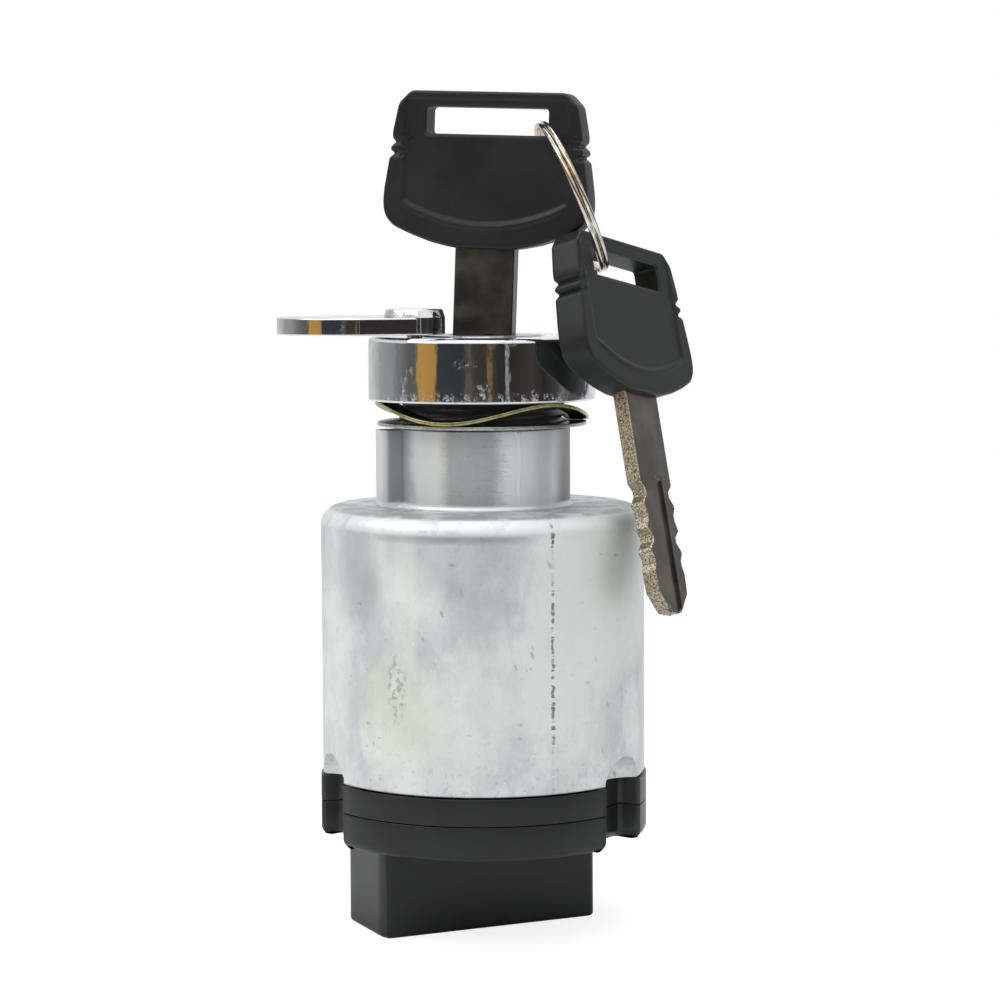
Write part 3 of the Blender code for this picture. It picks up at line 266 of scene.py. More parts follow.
def evened(path, count, closing=None):
    """Spaces rows evenly round a closed path, by its length in the first two columns.

    The path closes on the row given as closing, or on its own first row.
    """
    loop = np.vstack([path, path[:1] if closing is None else closing])
    length = np.concatenate([[0.0], np.cumsum(np.linalg.norm(np.diff(loop[:, :2], axis=0), axis=1))])
    places = np.linspace(0.0, length[-1], count, endpoint=False)
    return np.stack([np.interp(places, length, column) for column in loop.T], 1)


def outward(path):
    """Gives the unit normals of a closed counter-clockwise path: its chord turned a quarter clockwise."""
    chord = np.roll(path, -1, 0) - np.roll(path, 1, 0)
    normal = np.stack([chord[:, 1], -chord[:, 0]], 1)
    return normal / np.linalg.norm(normal, axis=1, keepdims=True)


def arc_points(centre, radius, start, end, steps):
    """Lists points on a circular arc."""
    angle = np.radians(np.linspace(start, end, steps + 1))
    return np.stack([centre[0] + radius * np.cos(angle), centre[1] + radius * np.sin(angle)], 1)


def surface(grid, ring=False):
    """Joins a grid of points, rows by columns, into one closed skin.

    Each row is a closed loop. With ring the last row joins the first, otherwise both end rows are single
    points and become poles. The faces are turned round where the enclosed volume comes out negative.
    """
    rows, columns = grid.shape[:2]
    if ring:
        points = grid.reshape(-1, 3)
        index = np.arange(rows * columns).reshape(rows, columns)
        index = np.vstack([index, index[:1]])
        fans = np.zeros((0, 3), int)
    else:
        points = np.vstack([grid[0, :1], grid[1:-1].reshape(-1, 3), grid[-1, :1]])
        index = 1 + np.arange((rows - 2) * columns).reshape(rows - 2, columns)
        top = np.stack([np.zeros(columns, int), np.roll(index[0], -1), index[0]], 1)
        foot = np.stack([np.full(columns, len(points) - 1), index[-1], np.roll(index[-1], -1)], 1)
        fans = np.vstack([top, foot])
    here, below = index[:-1], index[1:]
    quads = np.stack([here, np.roll(here, -1, 1), np.roll(below, -1, 1), below], -1).reshape(-1, 4)
    first, second, third, fourth = (points[quads[:, corner]] for corner in range(4))
    volume = (first * (np.cross(second, third) + np.cross(third, fourth))).sum()
    one, two, three = (points[fans[:, corner]] for corner in range(3))
    volume += (one * np.cross(two, three)).sum()
    if volume < 0.0:
        quads = quads[:, ::-1]
        fans = fans[:, ::-1]
    return points, quads, fans


def lathe(profile, columns=COLUMNS):
    """Turns (radius, height) points round the lock's axis: x = r cos a, y = r sin a, z = h."""
    angle = np.linspace(0.0, 2 * np.pi, columns, endpoint=False)
    radius = np.asarray(profile)[:, :1]
    height = np.asarray(profile)[:, 1:2]
    return np.stack([radius * np.cos(angle), radius * np.sin(angle), height + 0.0 * angle], -1)


def carried(path, profile):
    """Carries an (inset, height) profile round a closed path: point = path - normal * inset, z = height."""
    normal = outward(path)
    inset = np.asarray(profile)[:, 0][:, None, None]
    flat = path[None] - normal[None] * inset
    height = np.broadcast_to(np.asarray(profile)[:, 1][:, None, None], (len(profile), len(path), 1))
    return np.concatenate([flat, height], -1)


def ruled(first, second, steps):
    """Lists the loops strictly between two loops: first * (1 - t) + second * t."""
    part = np.linspace(0.0, 1.0, steps + 2)[1:-1, None, None]
    return first[None] * (1 - part) + second[None] * part


def level(path, height):
    """Lifts a flat path to a height."""
    return np.concatenate([path, np.full((len(path), 1), height)], 1)


def gathered(loop):
    """Draws a loop together into its middle point, as a pole row."""
    return np.broadcast_to(loop.mean(0), loop.shape)[None]


def moved(grid, matrix):
    """Carries points through a 4 by 4 matrix."""
    turn = np.array(matrix.to_3x3())
    return grid @ turn.T + np.array(matrix.translation)


def round_rectangle_radius(size, corner, angle):
    """Gives a rounded rectangle's radius at each angle, found by halving the span."""
    direction = np.stack([np.cos(angle), np.sin(angle)], -1)
    low = np.zeros_like(angle)
    high = np.full_like(angle, size[0] + size[1])
    for halving in range(40):
        middle = (low + high) / 2
        gap = np.abs(direction * middle[..., None]) - (np.array(size) / 2 - corner)
        outside = np.linalg.norm(np.maximum(gap, 0.0), axis=-1) + np.minimum(gap.max(-1), 0.0) - corner > 0.0
        high = np.where(outside, middle, high)
        low = np.where(outside, low, middle)
    return (low + high) / 2


def make_piece(name, skins, finish, body, nodes, crease=38.0):
    """Puts skins into one mesh object, with its finish, body, nodes and slot."""
    points, faces, start = [], [], 0
    for skin_points, quads, fans in skins:
        points.append(skin_points)
        faces += (quads + start).tolist() + (fans + start).tolist()
        start += len(skin_points)
    mesh = bpy.data.meshes.new(name)
    mesh.from_pydata(np.vstack(points).tolist(), [], faces)
    mesh.materials.append(finish)
    mesh.shade_smooth()
    mesh.set_sharp_from_angle(angle=math.radians(crease))
    obj = bpy.data.objects.new(name, mesh)
    bpy.context.scene.collection.objects.link(obj)
    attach(obj, body)
    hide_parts(*nodes)
    return obj


class Socket:
    """Wraps an output socket, so that arithmetic on it adds Math nodes."""

    def __init__(self, paint, output):
        self.paint = paint
        self.output = output

    def math(self, operation, *others):
        return self.paint.node("ShaderNodeMath", {"operation": operation}, dict(enumerate((self, *others))))

    def __add__(self, other):
        return self.math("ADD", other)

    def __sub__(self, other):
        return self.math("SUBTRACT", other)

    def __rsub__(self, other):
        return self.paint.node("ShaderNodeMath", {"operation": "SUBTRACT"}, {0: other, 1: self})

    def __mul__(self, other):
        return self.math("MULTIPLY", other)

    def __truediv__(self, other):
        return self.math("DIVIDE", other)

    def __pow__(self, other):
        return self.math("POWER", other)

    __radd__ = __add__
    __rmul__ = __mul__

    def squared(self):
        """The value times itself, which POWER can't give below zero."""
        return self * self

    def capped(self):
        """The value, or 1 where it is more."""
        return self.math("MINIMUM", 1.0)

    def above(self, low, high):
        """Rises smoothly from 0 at low to 1 at high; with low over high it falls."""
        settings = {"interpolation_type": "SMOOTHSTEP"}
        return self.paint.node("ShaderNodeMapRange", settings, {0: self, 1: low, 2: high, 3: 0.0, 4: 1.0})

    def within(self, start, full, still_full, end):
        """Rises from 0 at start to 1 at full, and falls from 1 at still_full to 0 at end."""
        return self.above(start, full) * self.above(end, still_full)


class Paint:
    """Builds one material's nodes."""

    def __init__(self, name, tree=None):
        if tree is None:
            self.material = bpy.data.materials.new(name)
            self.material.use_nodes = True
            tree = self.material.node_tree
            tree.nodes.clear()
        self.tree = tree

    def node(self, kind, settings=None, links=None, output=0):
        """Adds a node: its settings first, then the values or links of its sockets; returns one output."""
        node = self.tree.nodes.new(kind)
        for name, value in (settings or {}).items():
            if name == "stops":
                stops = node.color_ramp.elements
                for number, (place, colour) in enumerate(value):
                    stop = stops[number] if number < 2 else stops.new(place)
                    stop.position = place
                    stop.color = (*colour, 1.0)
            else:
                setattr(node, name, value)
        for name, value in (links or {}).items():
            if isinstance(value, Socket):
                self.tree.links.new(value.output, node.inputs[name])
            else:
                node.inputs[name].default_value = value
        return Socket(self, node.outputs[output])

    def split(self, vector):
        """Gives the three parts of a vector."""
        node = self.tree.nodes.new("ShaderNodeSeparateXYZ")
        self.tree.links.new(vector.output, node.inputs[0])
        return [Socket(self, output) for output in node.outputs]

    def place(self):
        """Object coordinates."""
        return self.node("ShaderNodeTexCoord", output="Object")

    def lock_axes(self):
        """Places from the lock's axis: x, y and height."""
        x, y, z = self.split(self.place())
        return x - float(AXIS[0]), y - float(AXIS[1]), z

    def rightwards(self, x, y):
        """How far a place lies to the right of the lock's axis in the photograph's view."""
        turn = math.radians(FRONT_TURN)
        return x * math.cos(turn) + y * math.sin(turn)

    def stretched(self, scale, shift=(0.0, 0.0, 0.0)):
        """Object coordinates times a scale for each axis."""
        return self.node("ShaderNodeMapping", links={"Vector": self.place(), "Location": shift,
                                                     "Scale": scale})

    def noise(self, scale, detail=3.0, rough=0.55, where=None):
        """A noise whose features are 1 / scale metres across."""
        links = {"Vector": where or self.place(), "Scale": scale, "Detail": detail, "Roughness": rough}
        return self.node("ShaderNodeTexNoise", links=links)

    def drawn(self, scale, detail, rough, shift=(0.0, 0.0, 0.0)):
        """A noise with its own scale along each axis."""
        return self.noise(1.0, detail, rough, self.stretched(scale, shift))

    def cells(self, scale, where=None):
        """How far each place is from the middle of its cell, with cells 1 / scale metres across."""
        return self.node("ShaderNodeTexVoronoi", links={"Vector": where or self.place(), "Scale": scale})

    def mix(self, first, second, factor):
        """Mixes two colours."""
        first, second = (value if isinstance(value, Socket) else (*value, 1.0) for value in (first, second))
        return self.node("ShaderNodeMix", {"data_type": "RGBA"}, {0: factor, 6: first, 7: second}, 2)

    def layered(self, base, *layers):
        """Lays colours over a base, each at its own share."""
        for colour, share in layers:
            base = self.mix(base, colour, share)
        return base

    def bump(self, height, strength, distance):
        """Turns a height into a normal; distance is the relief in metres."""
        return self.node("ShaderNodeBump", links={"Height": height, "Strength": strength,
                                                  "Distance": distance})

    def ray(self, kind):
        """Tells one kind of ray from the rest."""
        return self.node("ShaderNodeLightPath", output=f"Is {kind} Ray")

    def principled(self, **sockets):
        """Ends the material in a Principled shader; names use _ for a space."""
        links = {name.replace("_", " "): value for name, value in sockets.items()}
        return self.finished(self.node("ShaderNodeBsdfPrincipled", links=links))

    def finished(self, shader, kind="ShaderNodeOutputMaterial"):
        """Links a shader to the output and gives the material, or nothing for a world."""
        output = self.tree.nodes.new(kind)
        self.tree.links.new(shader.output, output.inputs["Surface"])
        return getattr(self, "material", None)


def casting_specks(paint, z, fine, scar):
    """Where the casting is marked: dents of two slants, grit, pits and a scar."""
    upright = paint.cells(230.0, paint.stretched((1.0, 1.0, 2.2))).above(0.150, 0.075)
    first, second, third = paint.split(paint.stretched((1.0, 1.0, 1.0), (0.3, 0.2, 0.9)))
    slant = paint.node("ShaderNodeCombineXYZ", links={0: first * 2.4 + third * 0.9, 1: second * 2.4,
                                                      2: third})
    leaning = paint.cells(190.0, slant).above(0.140, 0.065)
    dents = (upright + leaning).capped() * paint.noise(210.0, 1.0, 0.5).above(0.47, 0.66)
    grit = fine.above(0.60, 0.70) * (0.10 + z.above(0.0300, 0.0235) * 0.26)
    pits = paint.cells(700.0).above(0.20, 0.08) * paint.noise(240.0, 2.0, 0.5).above(0.60, 0.70)
    return (dents * 0.7 + grit + pits * 0.5 + scar * fine.above(0.48, 0.60) * 0.7).capped()


def zinc_finish():
    """Die-cast zinc: a soft mottle with smears, blotches and specks, and a jagged parting line with a painted
    highlight along its flash. On the side toward the camera lie painted dark reflections and painted
    highlights, with two faint tints.

    Over these lie a painted highlight on the shoulder's round with painted shade under it, painted shade on
    the crown, the neck painted darker as a reflection with painted highlights and shade on it and its rib,
    and painted shade over the thread.
    """
    paint = Paint("die_cast_zinc")
    x, y, z = paint.lock_axes()
    right = paint.rightwards(x, y)
    turn = math.radians(FRONT_TURN)
    mottle = paint.noise(150.0, 4.0, 0.55)
    broad = paint.noise(55.0, 2.0, 0.5)
    fine = paint.noise(1300.0, 2.0, 0.6)
    smear = paint.drawn((330.0, 330.0, 75.0), 3.0, 0.55)
    flake = paint.drawn((300.0, 300.0, 190.0), 5.0, 0.62, (4.0, 1.0, 2.0))
    warp = (mottle - 0.5) * 1.5 + (smear - 0.5) * 0.9
    seen = (x * math.sin(turn) - y * math.cos(turn)).above(-0.001, 0.003)

    # The patches' mask, only on the side toward the camera; it also places the real scar
    def patch_mask(side, height, half_width, half_height):
        reach = ((right - side) / half_width).squared() + ((z - height) / half_height).squared() + warp
        return reach.above(1.9, 0.1) * seen

    base = paint.layered(
        paint.mix((0.640, 0.690, 0.685), (0.800, 0.835, 0.820), mottle.above(0.36, 0.64)),
        ((0.52, 0.575, 0.585), smear.above(0.54, 0.70) * 0.35),
        ((0.50, 0.55, 0.57), flake.above(0.545, 0.585) * 0.22),
        ((0.90, 0.92, 0.91), flake.above(0.455, 0.415) * 0.30),
        ((0.86, 0.88, 0.86), broad.above(0.50, 0.68) * 0.50))
    # Painted dark reflections and painted highlights, with two faint tints, on the side toward the camera
    for colour, spot_list in PAINTED_REFLECTIONS_AND_TINTS:
        for *spot, share in spot_list:
            base = paint.mix(base, colour, patch_mask(*spot) * share)
    specks = casting_specks(paint, z, fine, patch_mask(*SCAR))

    line = x + (paint.noise(700.0, 3.0, 0.65) - 0.5) * 0.0011
    ahead = (y * -1.0).above(0.0, 0.008)
    teeth = paint.drawn((90.0, 90.0, 1300.0), 3.0, 0.7)
    chips = paint.drawn((90.0, 90.0, 1900.0), 3.0, 0.7, (0.0, 0.0, 3.7))
    strong = z.within(*PARTING_STRONG)
    dark_share = (0.16 + strong * 0.62 + z.within(*PARTING_CRACK) * 0.75).capped()
    dark_line = (line + 0.00010).math("ABSOLUTE").above(0.00032, 0.00012) * ahead * teeth.above(0.57, 0.47)
    dark_line = dark_line * dark_share
    # Painted highlight along the flash beside the parting line; the same mask raises the ridge in the bump
    flash_highlight_band = (line - 0.00009).math("ABSOLUTE").above(0.00026, 0.00010) * ahead
    flash_ridge_highlight = flash_highlight_band * chips.above(0.46, 0.56) * (0.22 + strong * 0.78)

    centred = ((right + 0.0045) / 0.0105).squared() + warp * 0.5
    # Painted shade in a thin band under the shoulder's painted highlight, strongest a little left of the middle
    # in front
    under_shoulder_shade = z.within(*UNDER_SHOULDER_SHADE_BAND) * centred.above(1.4, 0.3)
    base = paint.layered(
        base,
        ((0.17, 0.20, 0.21), specks * 0.62),
        # Painted highlight along the flash
        ((0.97, 0.98, 0.97), flash_ridge_highlight),
        ((0.070, 0.080, 0.080), dark_line),
        # Painted highlight on the shoulder's round
        ((0.93, 0.95, 0.95), z.within(*SHOULDER_HIGHLIGHT_BAND) * (0.30 + flake.above(0.42, 0.55) * 0.4)),
        # Painted shade under the shoulder
        ((0.34, 0.38, 0.40), under_shoulder_shade * (0.50 + mottle.above(0.42, 0.56) * 0.4)),
        # Painted shade on the crown's flat top
        ((0.36, 0.40, 0.41), z.within(*CROWN_SHADE_BAND) * (0.25 + flake.above(0.42, 0.56) * 0.5)))

    on_neck = z.above(CROWN_Z, CROWN_Z + 0.0006)
    # The neck is painted darker as a painted reflection, and painted highlights run up it
    base = paint.mix(base, (0.40, 0.440, 0.445), on_neck * 0.80)
    for side, half_width, share in NECK_HIGHLIGHTS:
        gleam = (((right - side) / half_width).squared() + (flake - 0.5) * 1.4).above(1.6, 0.2)
        base = paint.mix(base, (0.93, 0.96, 0.96), gleam * on_neck * share)
    scratch = paint.drawn((420.0, 420.0, 3800.0), 2.0, 0.6).above(0.60, 0.68)
    scratch = scratch * ((right + 0.0010) / 0.0045).squared().above(1.6, 0.4)
    base = paint.layered(
        base,
        # Painted shade on the neck's right edge
        ((0.16, 0.175, 0.175), right.above(0.0098, 0.0118) * on_neck * 0.65),
        # Painted highlight on the rib's left face
        ((0.84, 0.88, 0.88), right.above(-0.0130, -0.0136) * on_neck * 0.85),
        ((0.16, 0.18, 0.18), right.within(*RIB_SHADE) * on_neck * 0.45),
        # Painted highlight along the flash on the neck
        ((0.97, 0.98, 0.98), flash_highlight_band * chips.above(0.42, 0.50) * on_neck * 0.75),
        ((0.22, 0.245, 0.25), scratch * on_neck * 0.35),
        # Painted highlight on the neck's foot fillet
        ((0.95, 0.97, 0.97), z.within(*NECK_FOOT_HIGHLIGHT_BAND) * 0.90),
        # Painted shade over the thread above the seat, under the washers and nut
        ((0.030, 0.030, 0.027), z.above(SEAT_Z + 0.0002, SEAT_Z + 0.0005) * 0.92))
    rough = 0.52 - on_neck * 0.14 + (mottle - 0.5) * 0.20 + specks * 0.15
    relief = mottle * 0.5 + smear * 0.3 + fine * 0.10 - specks * 0.8 + flash_ridge_highlight * 0.8 - dark_line * 0.6
    normal = paint.bump(relief, 0.50, 0.00010)
    return paint.principled(Base_Color=base, Metallic=0.50, Roughness=rough, Normal=normal)


def moulded_finish(name, colour, shine, grain, side_sheen=0.0):
    """Black moulded plastic: a faint grain, an uneven sheen, scuffs, and a painted grey reflection, at a given
    share, on the outer parts far to the left and right in the front view.
    """
    paint = Paint(name)
    pores = paint.noise(grain, 2.0, 0.6)
    flow = paint.noise(110.0, 3.0, 0.55)
    scuff = paint.drawn((2400.0, 2400.0, 300.0), 4.0, 0.65).above(0.66, 0.78)
    pale = tuple(part * 2.4 + 0.008 for part in colour)
    base = paint.mix(colour, pale, flow.above(0.35, 0.8) * 0.30 + scuff * 0.18)
    if side_sheen:
        right = paint.rightwards(*paint.lock_axes()[:2])
        # Painted reflection: the parts far to the left and right in the front view are lightened grey
        outer = (right.math("ABSOLUTE") + (flow - 0.5) * 0.002).above(0.0180, 0.0208)
        base = paint.mix(base, (0.055, 0.056, 0.055), outer * side_sheen)
    rough = shine + (flow - 0.5) * 0.18 + scuff * 0.08
    normal = paint.bump(pores + flow * 0.4, 0.35, 0.00004)
    return paint.principled(Base_Color=base, Roughness=rough, Normal=normal, Specular_IOR_Level=0.38)


def chrome_finish(name, colour, haze, wrinkling=0.65):
    """Bright plating over a rough casting: slow waves, and wrinkles, most at the nut's foot."""
    paint = Paint(name)
    x, y, z = paint.split(paint.place())
    peel = paint.noise(900.0, 2.0, 0.6)
    drift = paint.drawn((420.0, 420.0, 160.0), 3.0, 0.55)
    wrinkle = paint.drawn((1500.0, 1500.0, 900.0), 5.0, 0.72)
    low_edge = z.above(BEZEL_LOW + 0.0022, BEZEL_LOW + 0.0003)
    patches = (paint.noise(240.0, 3.0, 0.6).above(0.50, 0.66) + low_edge * 0.7).capped()
    crumb = wrinkle.above(0.50, 0.72) * patches
    tarnish = paint.noise(120.0, 4.0, 0.6).above(0.5, 0.8)
    base = paint.mix(colour, tuple(part * 0.72 for part in colour), tarnish * 0.5)
    rough = haze + tarnish * 0.05 + crumb * 0.10
    normal = paint.bump(peel * 0.35 + drift * 1.6 + crumb * wrinkling, 0.55, 0.00005)
    return paint.principled(Base_Color=base, Metallic=1.0, Roughness=rough, Normal=normal)


def plated_finish(name, dark, pale, shine, metallic=1.0, grain=900.0, tint=None):
    """Plated or rolled metal: fine grain between two tones, with an optional tint in patches."""
    paint = Paint(name)
    fine = paint.noise(grain, 4.0, 0.65)
    broad = paint.noise(150.0, 3.0, 0.55)
    base = paint.mix(dark, pale, fine.above(0.3, 0.7) * 0.6 + broad.above(0.35, 0.7) * 0.4)
    if tint:
        patches = paint.noise(210.0, 3.0, 0.5, paint.stretched((1.0, 1.0, 1.0), (5.0, 1.0, 3.0)))
        base = paint.mix(base, tint, patches.above(0.48, 0.66) * 0.6)
    rough = shine + (broad - 0.5) * 0.2
    normal = paint.bump(fine, 0.3, 0.00003)
    return paint.principled(Base_Color=base, Metallic=metallic, Roughness=rough, Normal=normal)


def rim_finish(name, rim_dark, rim_pale, face, rim_r, shine):
    """A plated ring whose outer rim is bright, and whose faces are painted dark: painted shade under the nut."""
    paint = Paint(name)
    x, y = paint.lock_axes()[:2]
    reach = (x.squared() + y.squared()) ** 0.5
    fine = paint.noise(1700.0, 4.0, 0.65)
    patch = paint.noise(260.0, 3.0, 0.6)
    rim = paint.mix(rim_dark, rim_pale, fine.above(0.36, 0.62) * 0.5 + patch.above(0.38, 0.64) * 0.5)
    # Painted shade: the faces get the dark face colour, under the nut
    shade = paint.mix(face, rim_dark, patch.above(0.60, 0.80) * 0.35)
    base = paint.mix(shade, rim, reach.above(rim_r - 0.00022, rim_r - 0.00004))
    rough = shine + (patch - 0.5) * 0.2
    normal = paint.bump(fine, 0.3, 0.00003)
    return paint.principled(Base_Color=base, Metallic=0.85, Roughness=rough, Normal=normal)


def key_steel_finish():
    """Plated key brass with a fine grain; its faces are painted dark as a painted reflection, and the sawn edges
    are bright and rough.
    """
    paint = Paint("key_plate")
    sawn = paint.node("ShaderNodeAttribute", {"attribute_name": "cut_edge"}, output="Fac")
    grit = paint.noise(4200.0, 3.0, 0.7)
    broad = paint.noise(230.0, 3.0, 0.55)
    # Painted reflection: the blade's faces are coloured dark
    face = paint.mix((0.105, 0.100, 0.085), (0.165, 0.158, 0.135), broad.above(0.35, 0.7))
    edge = paint.mix((0.16, 0.135, 0.09), (0.66, 0.60, 0.46), grit.above(0.40, 0.60))
    base = paint.mix(face, edge, sawn)
    rough = 0.30 + (broad - 0.5) * 0.12 + sawn * 0.14
    normal = paint.bump(grit * sawn + broad * 0.15, 0.6, 0.00006)
    return paint.principled(Base_Color=base, Metallic=0.95, Roughness=rough, Normal=normal)


def node_finishes():
    """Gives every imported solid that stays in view, and every hidden inner one, its own procedural finish."""
    brass = plated_finish("strip_brass", (0.55, 0.40, 0.17), (0.86, 0.68, 0.36), 0.26)
    steel = plated_finish("drawn_wire", (0.36, 0.36, 0.37), (0.66, 0.66, 0.67), 0.24, grain=2500.0)
    screw = plated_finish("zinc_screw", (0.58, 0.59, 0.60), (0.80, 0.81, 0.82), 0.28)
    copper = plated_finish("contact_copper", (0.60, 0.30, 0.18), (0.88, 0.52, 0.36), 0.28)
    nylon = plated_finish("rotor_nylon", (0.66, 0.63, 0.55), (0.80, 0.78, 0.72), 0.50, metallic=0.0)
    plug = plated_finish("plug_zinc", (0.34, 0.35, 0.37), (0.60, 0.61, 0.63), 0.34)
    ball = plated_finish("ball_steel", (0.55, 0.55, 0.57), (0.75, 0.75, 0.77), 0.10)
    by_start = {"terminal_": brass, "wafer_spring": steel, "wafer_": brass, "contact_spring": steel,
                "detent_spring": steel, "return_spring": steel, "cover_spring": steel, "plug_clip": steel,
                "base_screw": screw, "moving_contact": copper, "rotor": nylon, "lock_plug": plug,
                "detent_ball": ball}
    for name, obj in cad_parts.items():
        for start, finish in by_start.items():
            if name.startswith(start) and name != "terminal_base":
                for slot in obj.material_slots:
                    slot.material = finish
                break


def column_reach(angle, turn, centre_r, radius, far):
    """Radius where a ray at each angle meets a round column: c cos d + or - sqrt(r^2 - c^2 sin^2 d)."""
    delta = (angle - math.radians(turn) + np.pi) % (2 * np.pi) - np.pi
    under = radius ** 2 - (centre_r * np.sin(delta)) ** 2
    root = np.sqrt(np.maximum(under, 0.0))
    reach = centre_r * np.cos(delta) + (root if far else -root)
    hit = (under > 0.0) & (np.abs(delta) < np.pi / 2)
    return reach, hit


def housing_skin():
    """The casting: radius = profile + thread + rib + parting flash + ripple - scoops, at each angle and height.

    The profile runs from the bore's top over the thread, neck, shoulder and side to the foot, and back up
    inside. The thread is a triangle wave of height / pitch - angle / 360. The rib's radius is the lesser of
    reach / cos and half width / sin of the angle from its middle. A scoop is an ellipsoid's inner face.
    """
    angle = np.linspace(0.0, 2 * np.pi, COLUMNS, endpoint=False)
    rib_top = SEAT_Z - 0.0002
    thread_z = np.arange(HOUSING_TOP - 0.0005, SEAT_Z + 0.0002, -THREAD_PITCH / 7)
    top = softened([(BORE_R, HOUSING_TOP - 0.001, 0), (BORE_R, HOUSING_TOP, 0.0003),
                    (THREAD_R - 0.0005, HOUSING_TOP, 0.0001),
                    (THREAD_R, HOUSING_TOP - 0.0005, 0)], 3)[:-1]
    thread = np.stack([np.full_like(thread_z, THREAD_R), thread_z], 1)
    seat = softened([(THREAD_R - 0.0002, SEAT_Z + 0.0001, 0), (THREAD_R - 0.0002, SEAT_Z, 0.00005),
                     (NECK_R, SEAT_Z, 0.00012),
                     (NECK_R, rib_top + 0.00002, 0)], 3)
    neck_z = np.linspace(rib_top, CROWN_Z + NECK_FOOT_ROUND, 30)
    neck = np.stack([np.full_like(neck_z, NECK_R), neck_z], 1)
    fillet = arc_points((NECK_R + NECK_FOOT_ROUND, CROWN_Z + NECK_FOOT_ROUND), NECK_FOOT_ROUND, 180, 270,
                        5)[1:]
    crown = np.stack([np.linspace(fillet[-1, 0], BODY_R - SHOULDER_ROUND, 11)[1:-1], np.full(9, CROWN_Z)], 1)
    shoulder = arc_points((BODY_R - SHOULDER_ROUND, CROWN_Z - SHOULDER_ROUND), SHOULDER_ROUND, 90, 0, 9)
    side_z = np.concatenate([np.linspace(CROWN_Z - SHOULDER_ROUND, BODY_LOW + 0.0048, 38)[1:],
                             np.linspace(BODY_LOW + 0.0048, BODY_LOW + 0.00015, 26)[1:]])
    side = np.stack([np.full_like(side_z, BODY_R), side_z], 1)
    inner = BODY_R - BODY_WALL
    foot = np.array([(BODY_R - 0.00015, BODY_LOW), (inner + 0.0001, BODY_LOW)])
    roof = NECK_Z - BODY_ROOF
    inside_z = np.linspace(BODY_LOW + 0.0001, roof - 0.0002, 5)
    inside = np.stack([np.full_like(inside_z, inner), inside_z], 1)
    boss_low = roof - BOSS_LENGTH
    hollow = np.array([(inner - 0.0002, roof), (BOSS_R + 0.0001, roof), (BOSS_R, roof - 0.0001),
                       (BOSS_R, boss_low),
                       (BORE_R, boss_low)])
    parts = [top, thread, seat, neck, fillet, crown, shoulder, side, foot, inside, hollow]
    ends = np.cumsum([len(part) for part in parts])
    marks = dict(zip(("top", "thread", "seat", "neck", "fillet", "crown", "shoulder", "side", "foot",
                      "inside", "hollow"),
                     (slice(end - len(part), end) for end, part in zip(ends, parts))))
    profile = np.vstack(parts)
    radius = np.repeat(profile[:, :1], COLUMNS, 1)
    height = np.repeat(profile[:, 1:], COLUMNS, 1)

    rows = marks["thread"]
    turn = (height[rows] / THREAD_PITCH - angle / (2 * np.pi)) % 1.0
    ease = smooth(SEAT_Z + 0.0002, SEAT_Z + 0.0012, height[rows])
    radius[rows] -= THREAD_DEPTH * np.abs(2 * turn - 1) * ease

    delta = (angle - math.radians(RIB_TURN) + np.pi) % (2 * np.pi) - np.pi
    face = RIB_REACH / np.maximum(np.cos(delta), 0.2)
    flank = RIB_WIDTH / 2 / np.maximum(np.abs(np.sin(delta)), 0.02)
    soft = 0.00025
    rib = -soft * np.log(np.exp(-face / soft) + np.exp(-flank / soft))
    rib = np.where(np.abs(delta) < 0.4, rib, 0.0)
    for rows in (marks["neck"], marks["fillet"]):
        radius[rows] = np.maximum(radius[rows], rib)
    rows = marks["crown"]
    start = np.maximum(profile[rows, 0][0], rib)
    part = (profile[rows, :1] - profile[rows, 0][0]) / (BODY_R - SHOULDER_ROUND - profile[rows, 0][0])
    radius[rows] = start + part * (BODY_R - SHOULDER_ROUND - start)

    across = (angle - math.radians(PARTING_TURN) + np.pi) % (2 * np.pi) - np.pi
    jag = 0.5 + 0.5 * ripple(height * 900, height * 300, 1.0)
    line = (across * radius + 0.00012 * ripple(height * 700, height * 500, 1.0, 2.0)) / 0.00016
    flash = np.exp(-line ** 2) * jag
    rows = marks["neck"]
    radius[rows] += 0.00012 * flash[rows]
    rows = marks["side"]
    strong = 0.35 + 0.65 * smooth(0.052, 0.049, height[rows]) * smooth(0.0255, 0.0275, height[rows])
    radius[rows] += 0.00010 * flash[rows] * strong
    wave = ripple(radius * angle * 1000, height * 1000, 2.6)
    radius[rows] += 0.000028 * wave[rows] * smooth(CROWN_Z - SHOULDER_ROUND, CROWN_Z - 0.004, height[rows])
    rows = marks["shoulder"]
    height[rows] += 0.00003 * wave[rows]
    rows = marks["crown"]
    height[rows] += 0.00005 * wave[rows]

    rows = slice(marks["side"].start, marks["foot"].stop - 1)
    for notch in NOTCH_TURNS:
        delta = (angle - math.radians(notch) + np.pi) % (2 * np.pi) - np.pi
        sideways = radius[rows] * np.sin(np.clip(delta, -1.5, 1.5))
        inside_it = 1.0 - (sideways / (NOTCH_WIDTH / 2)) ** 2 - ((height[rows] - BODY_LOW) / SCOOP_RISE) ** 2
        depth = SCOOP_DEPTH * np.sqrt(np.maximum(inside_it, 0.0)) * smooth(0.0, 0.12, inside_it)
        hollowed = (BODY_R - depth) / np.cos(np.clip(delta, -0.5, 0.5))
        radius[rows] = np.where((inside_it > 0.0) & (np.abs(delta) < 0.4),
                                np.minimum(radius[rows], hollowed), radius[rows])
    rows = marks["inside"]
    for turn in SCREW_TURNS:
        reach, hit = column_reach(angle, turn, SCREW_CIRCLE_R, COLUMN_R, False)
        radius[rows] = np.where(hit & (reach < radius[rows]), reach, radius[rows])
    grid = np.stack([radius * np.cos(angle), radius * np.sin(angle), height], -1) + AXIS
    return surface(grid, ring=True)


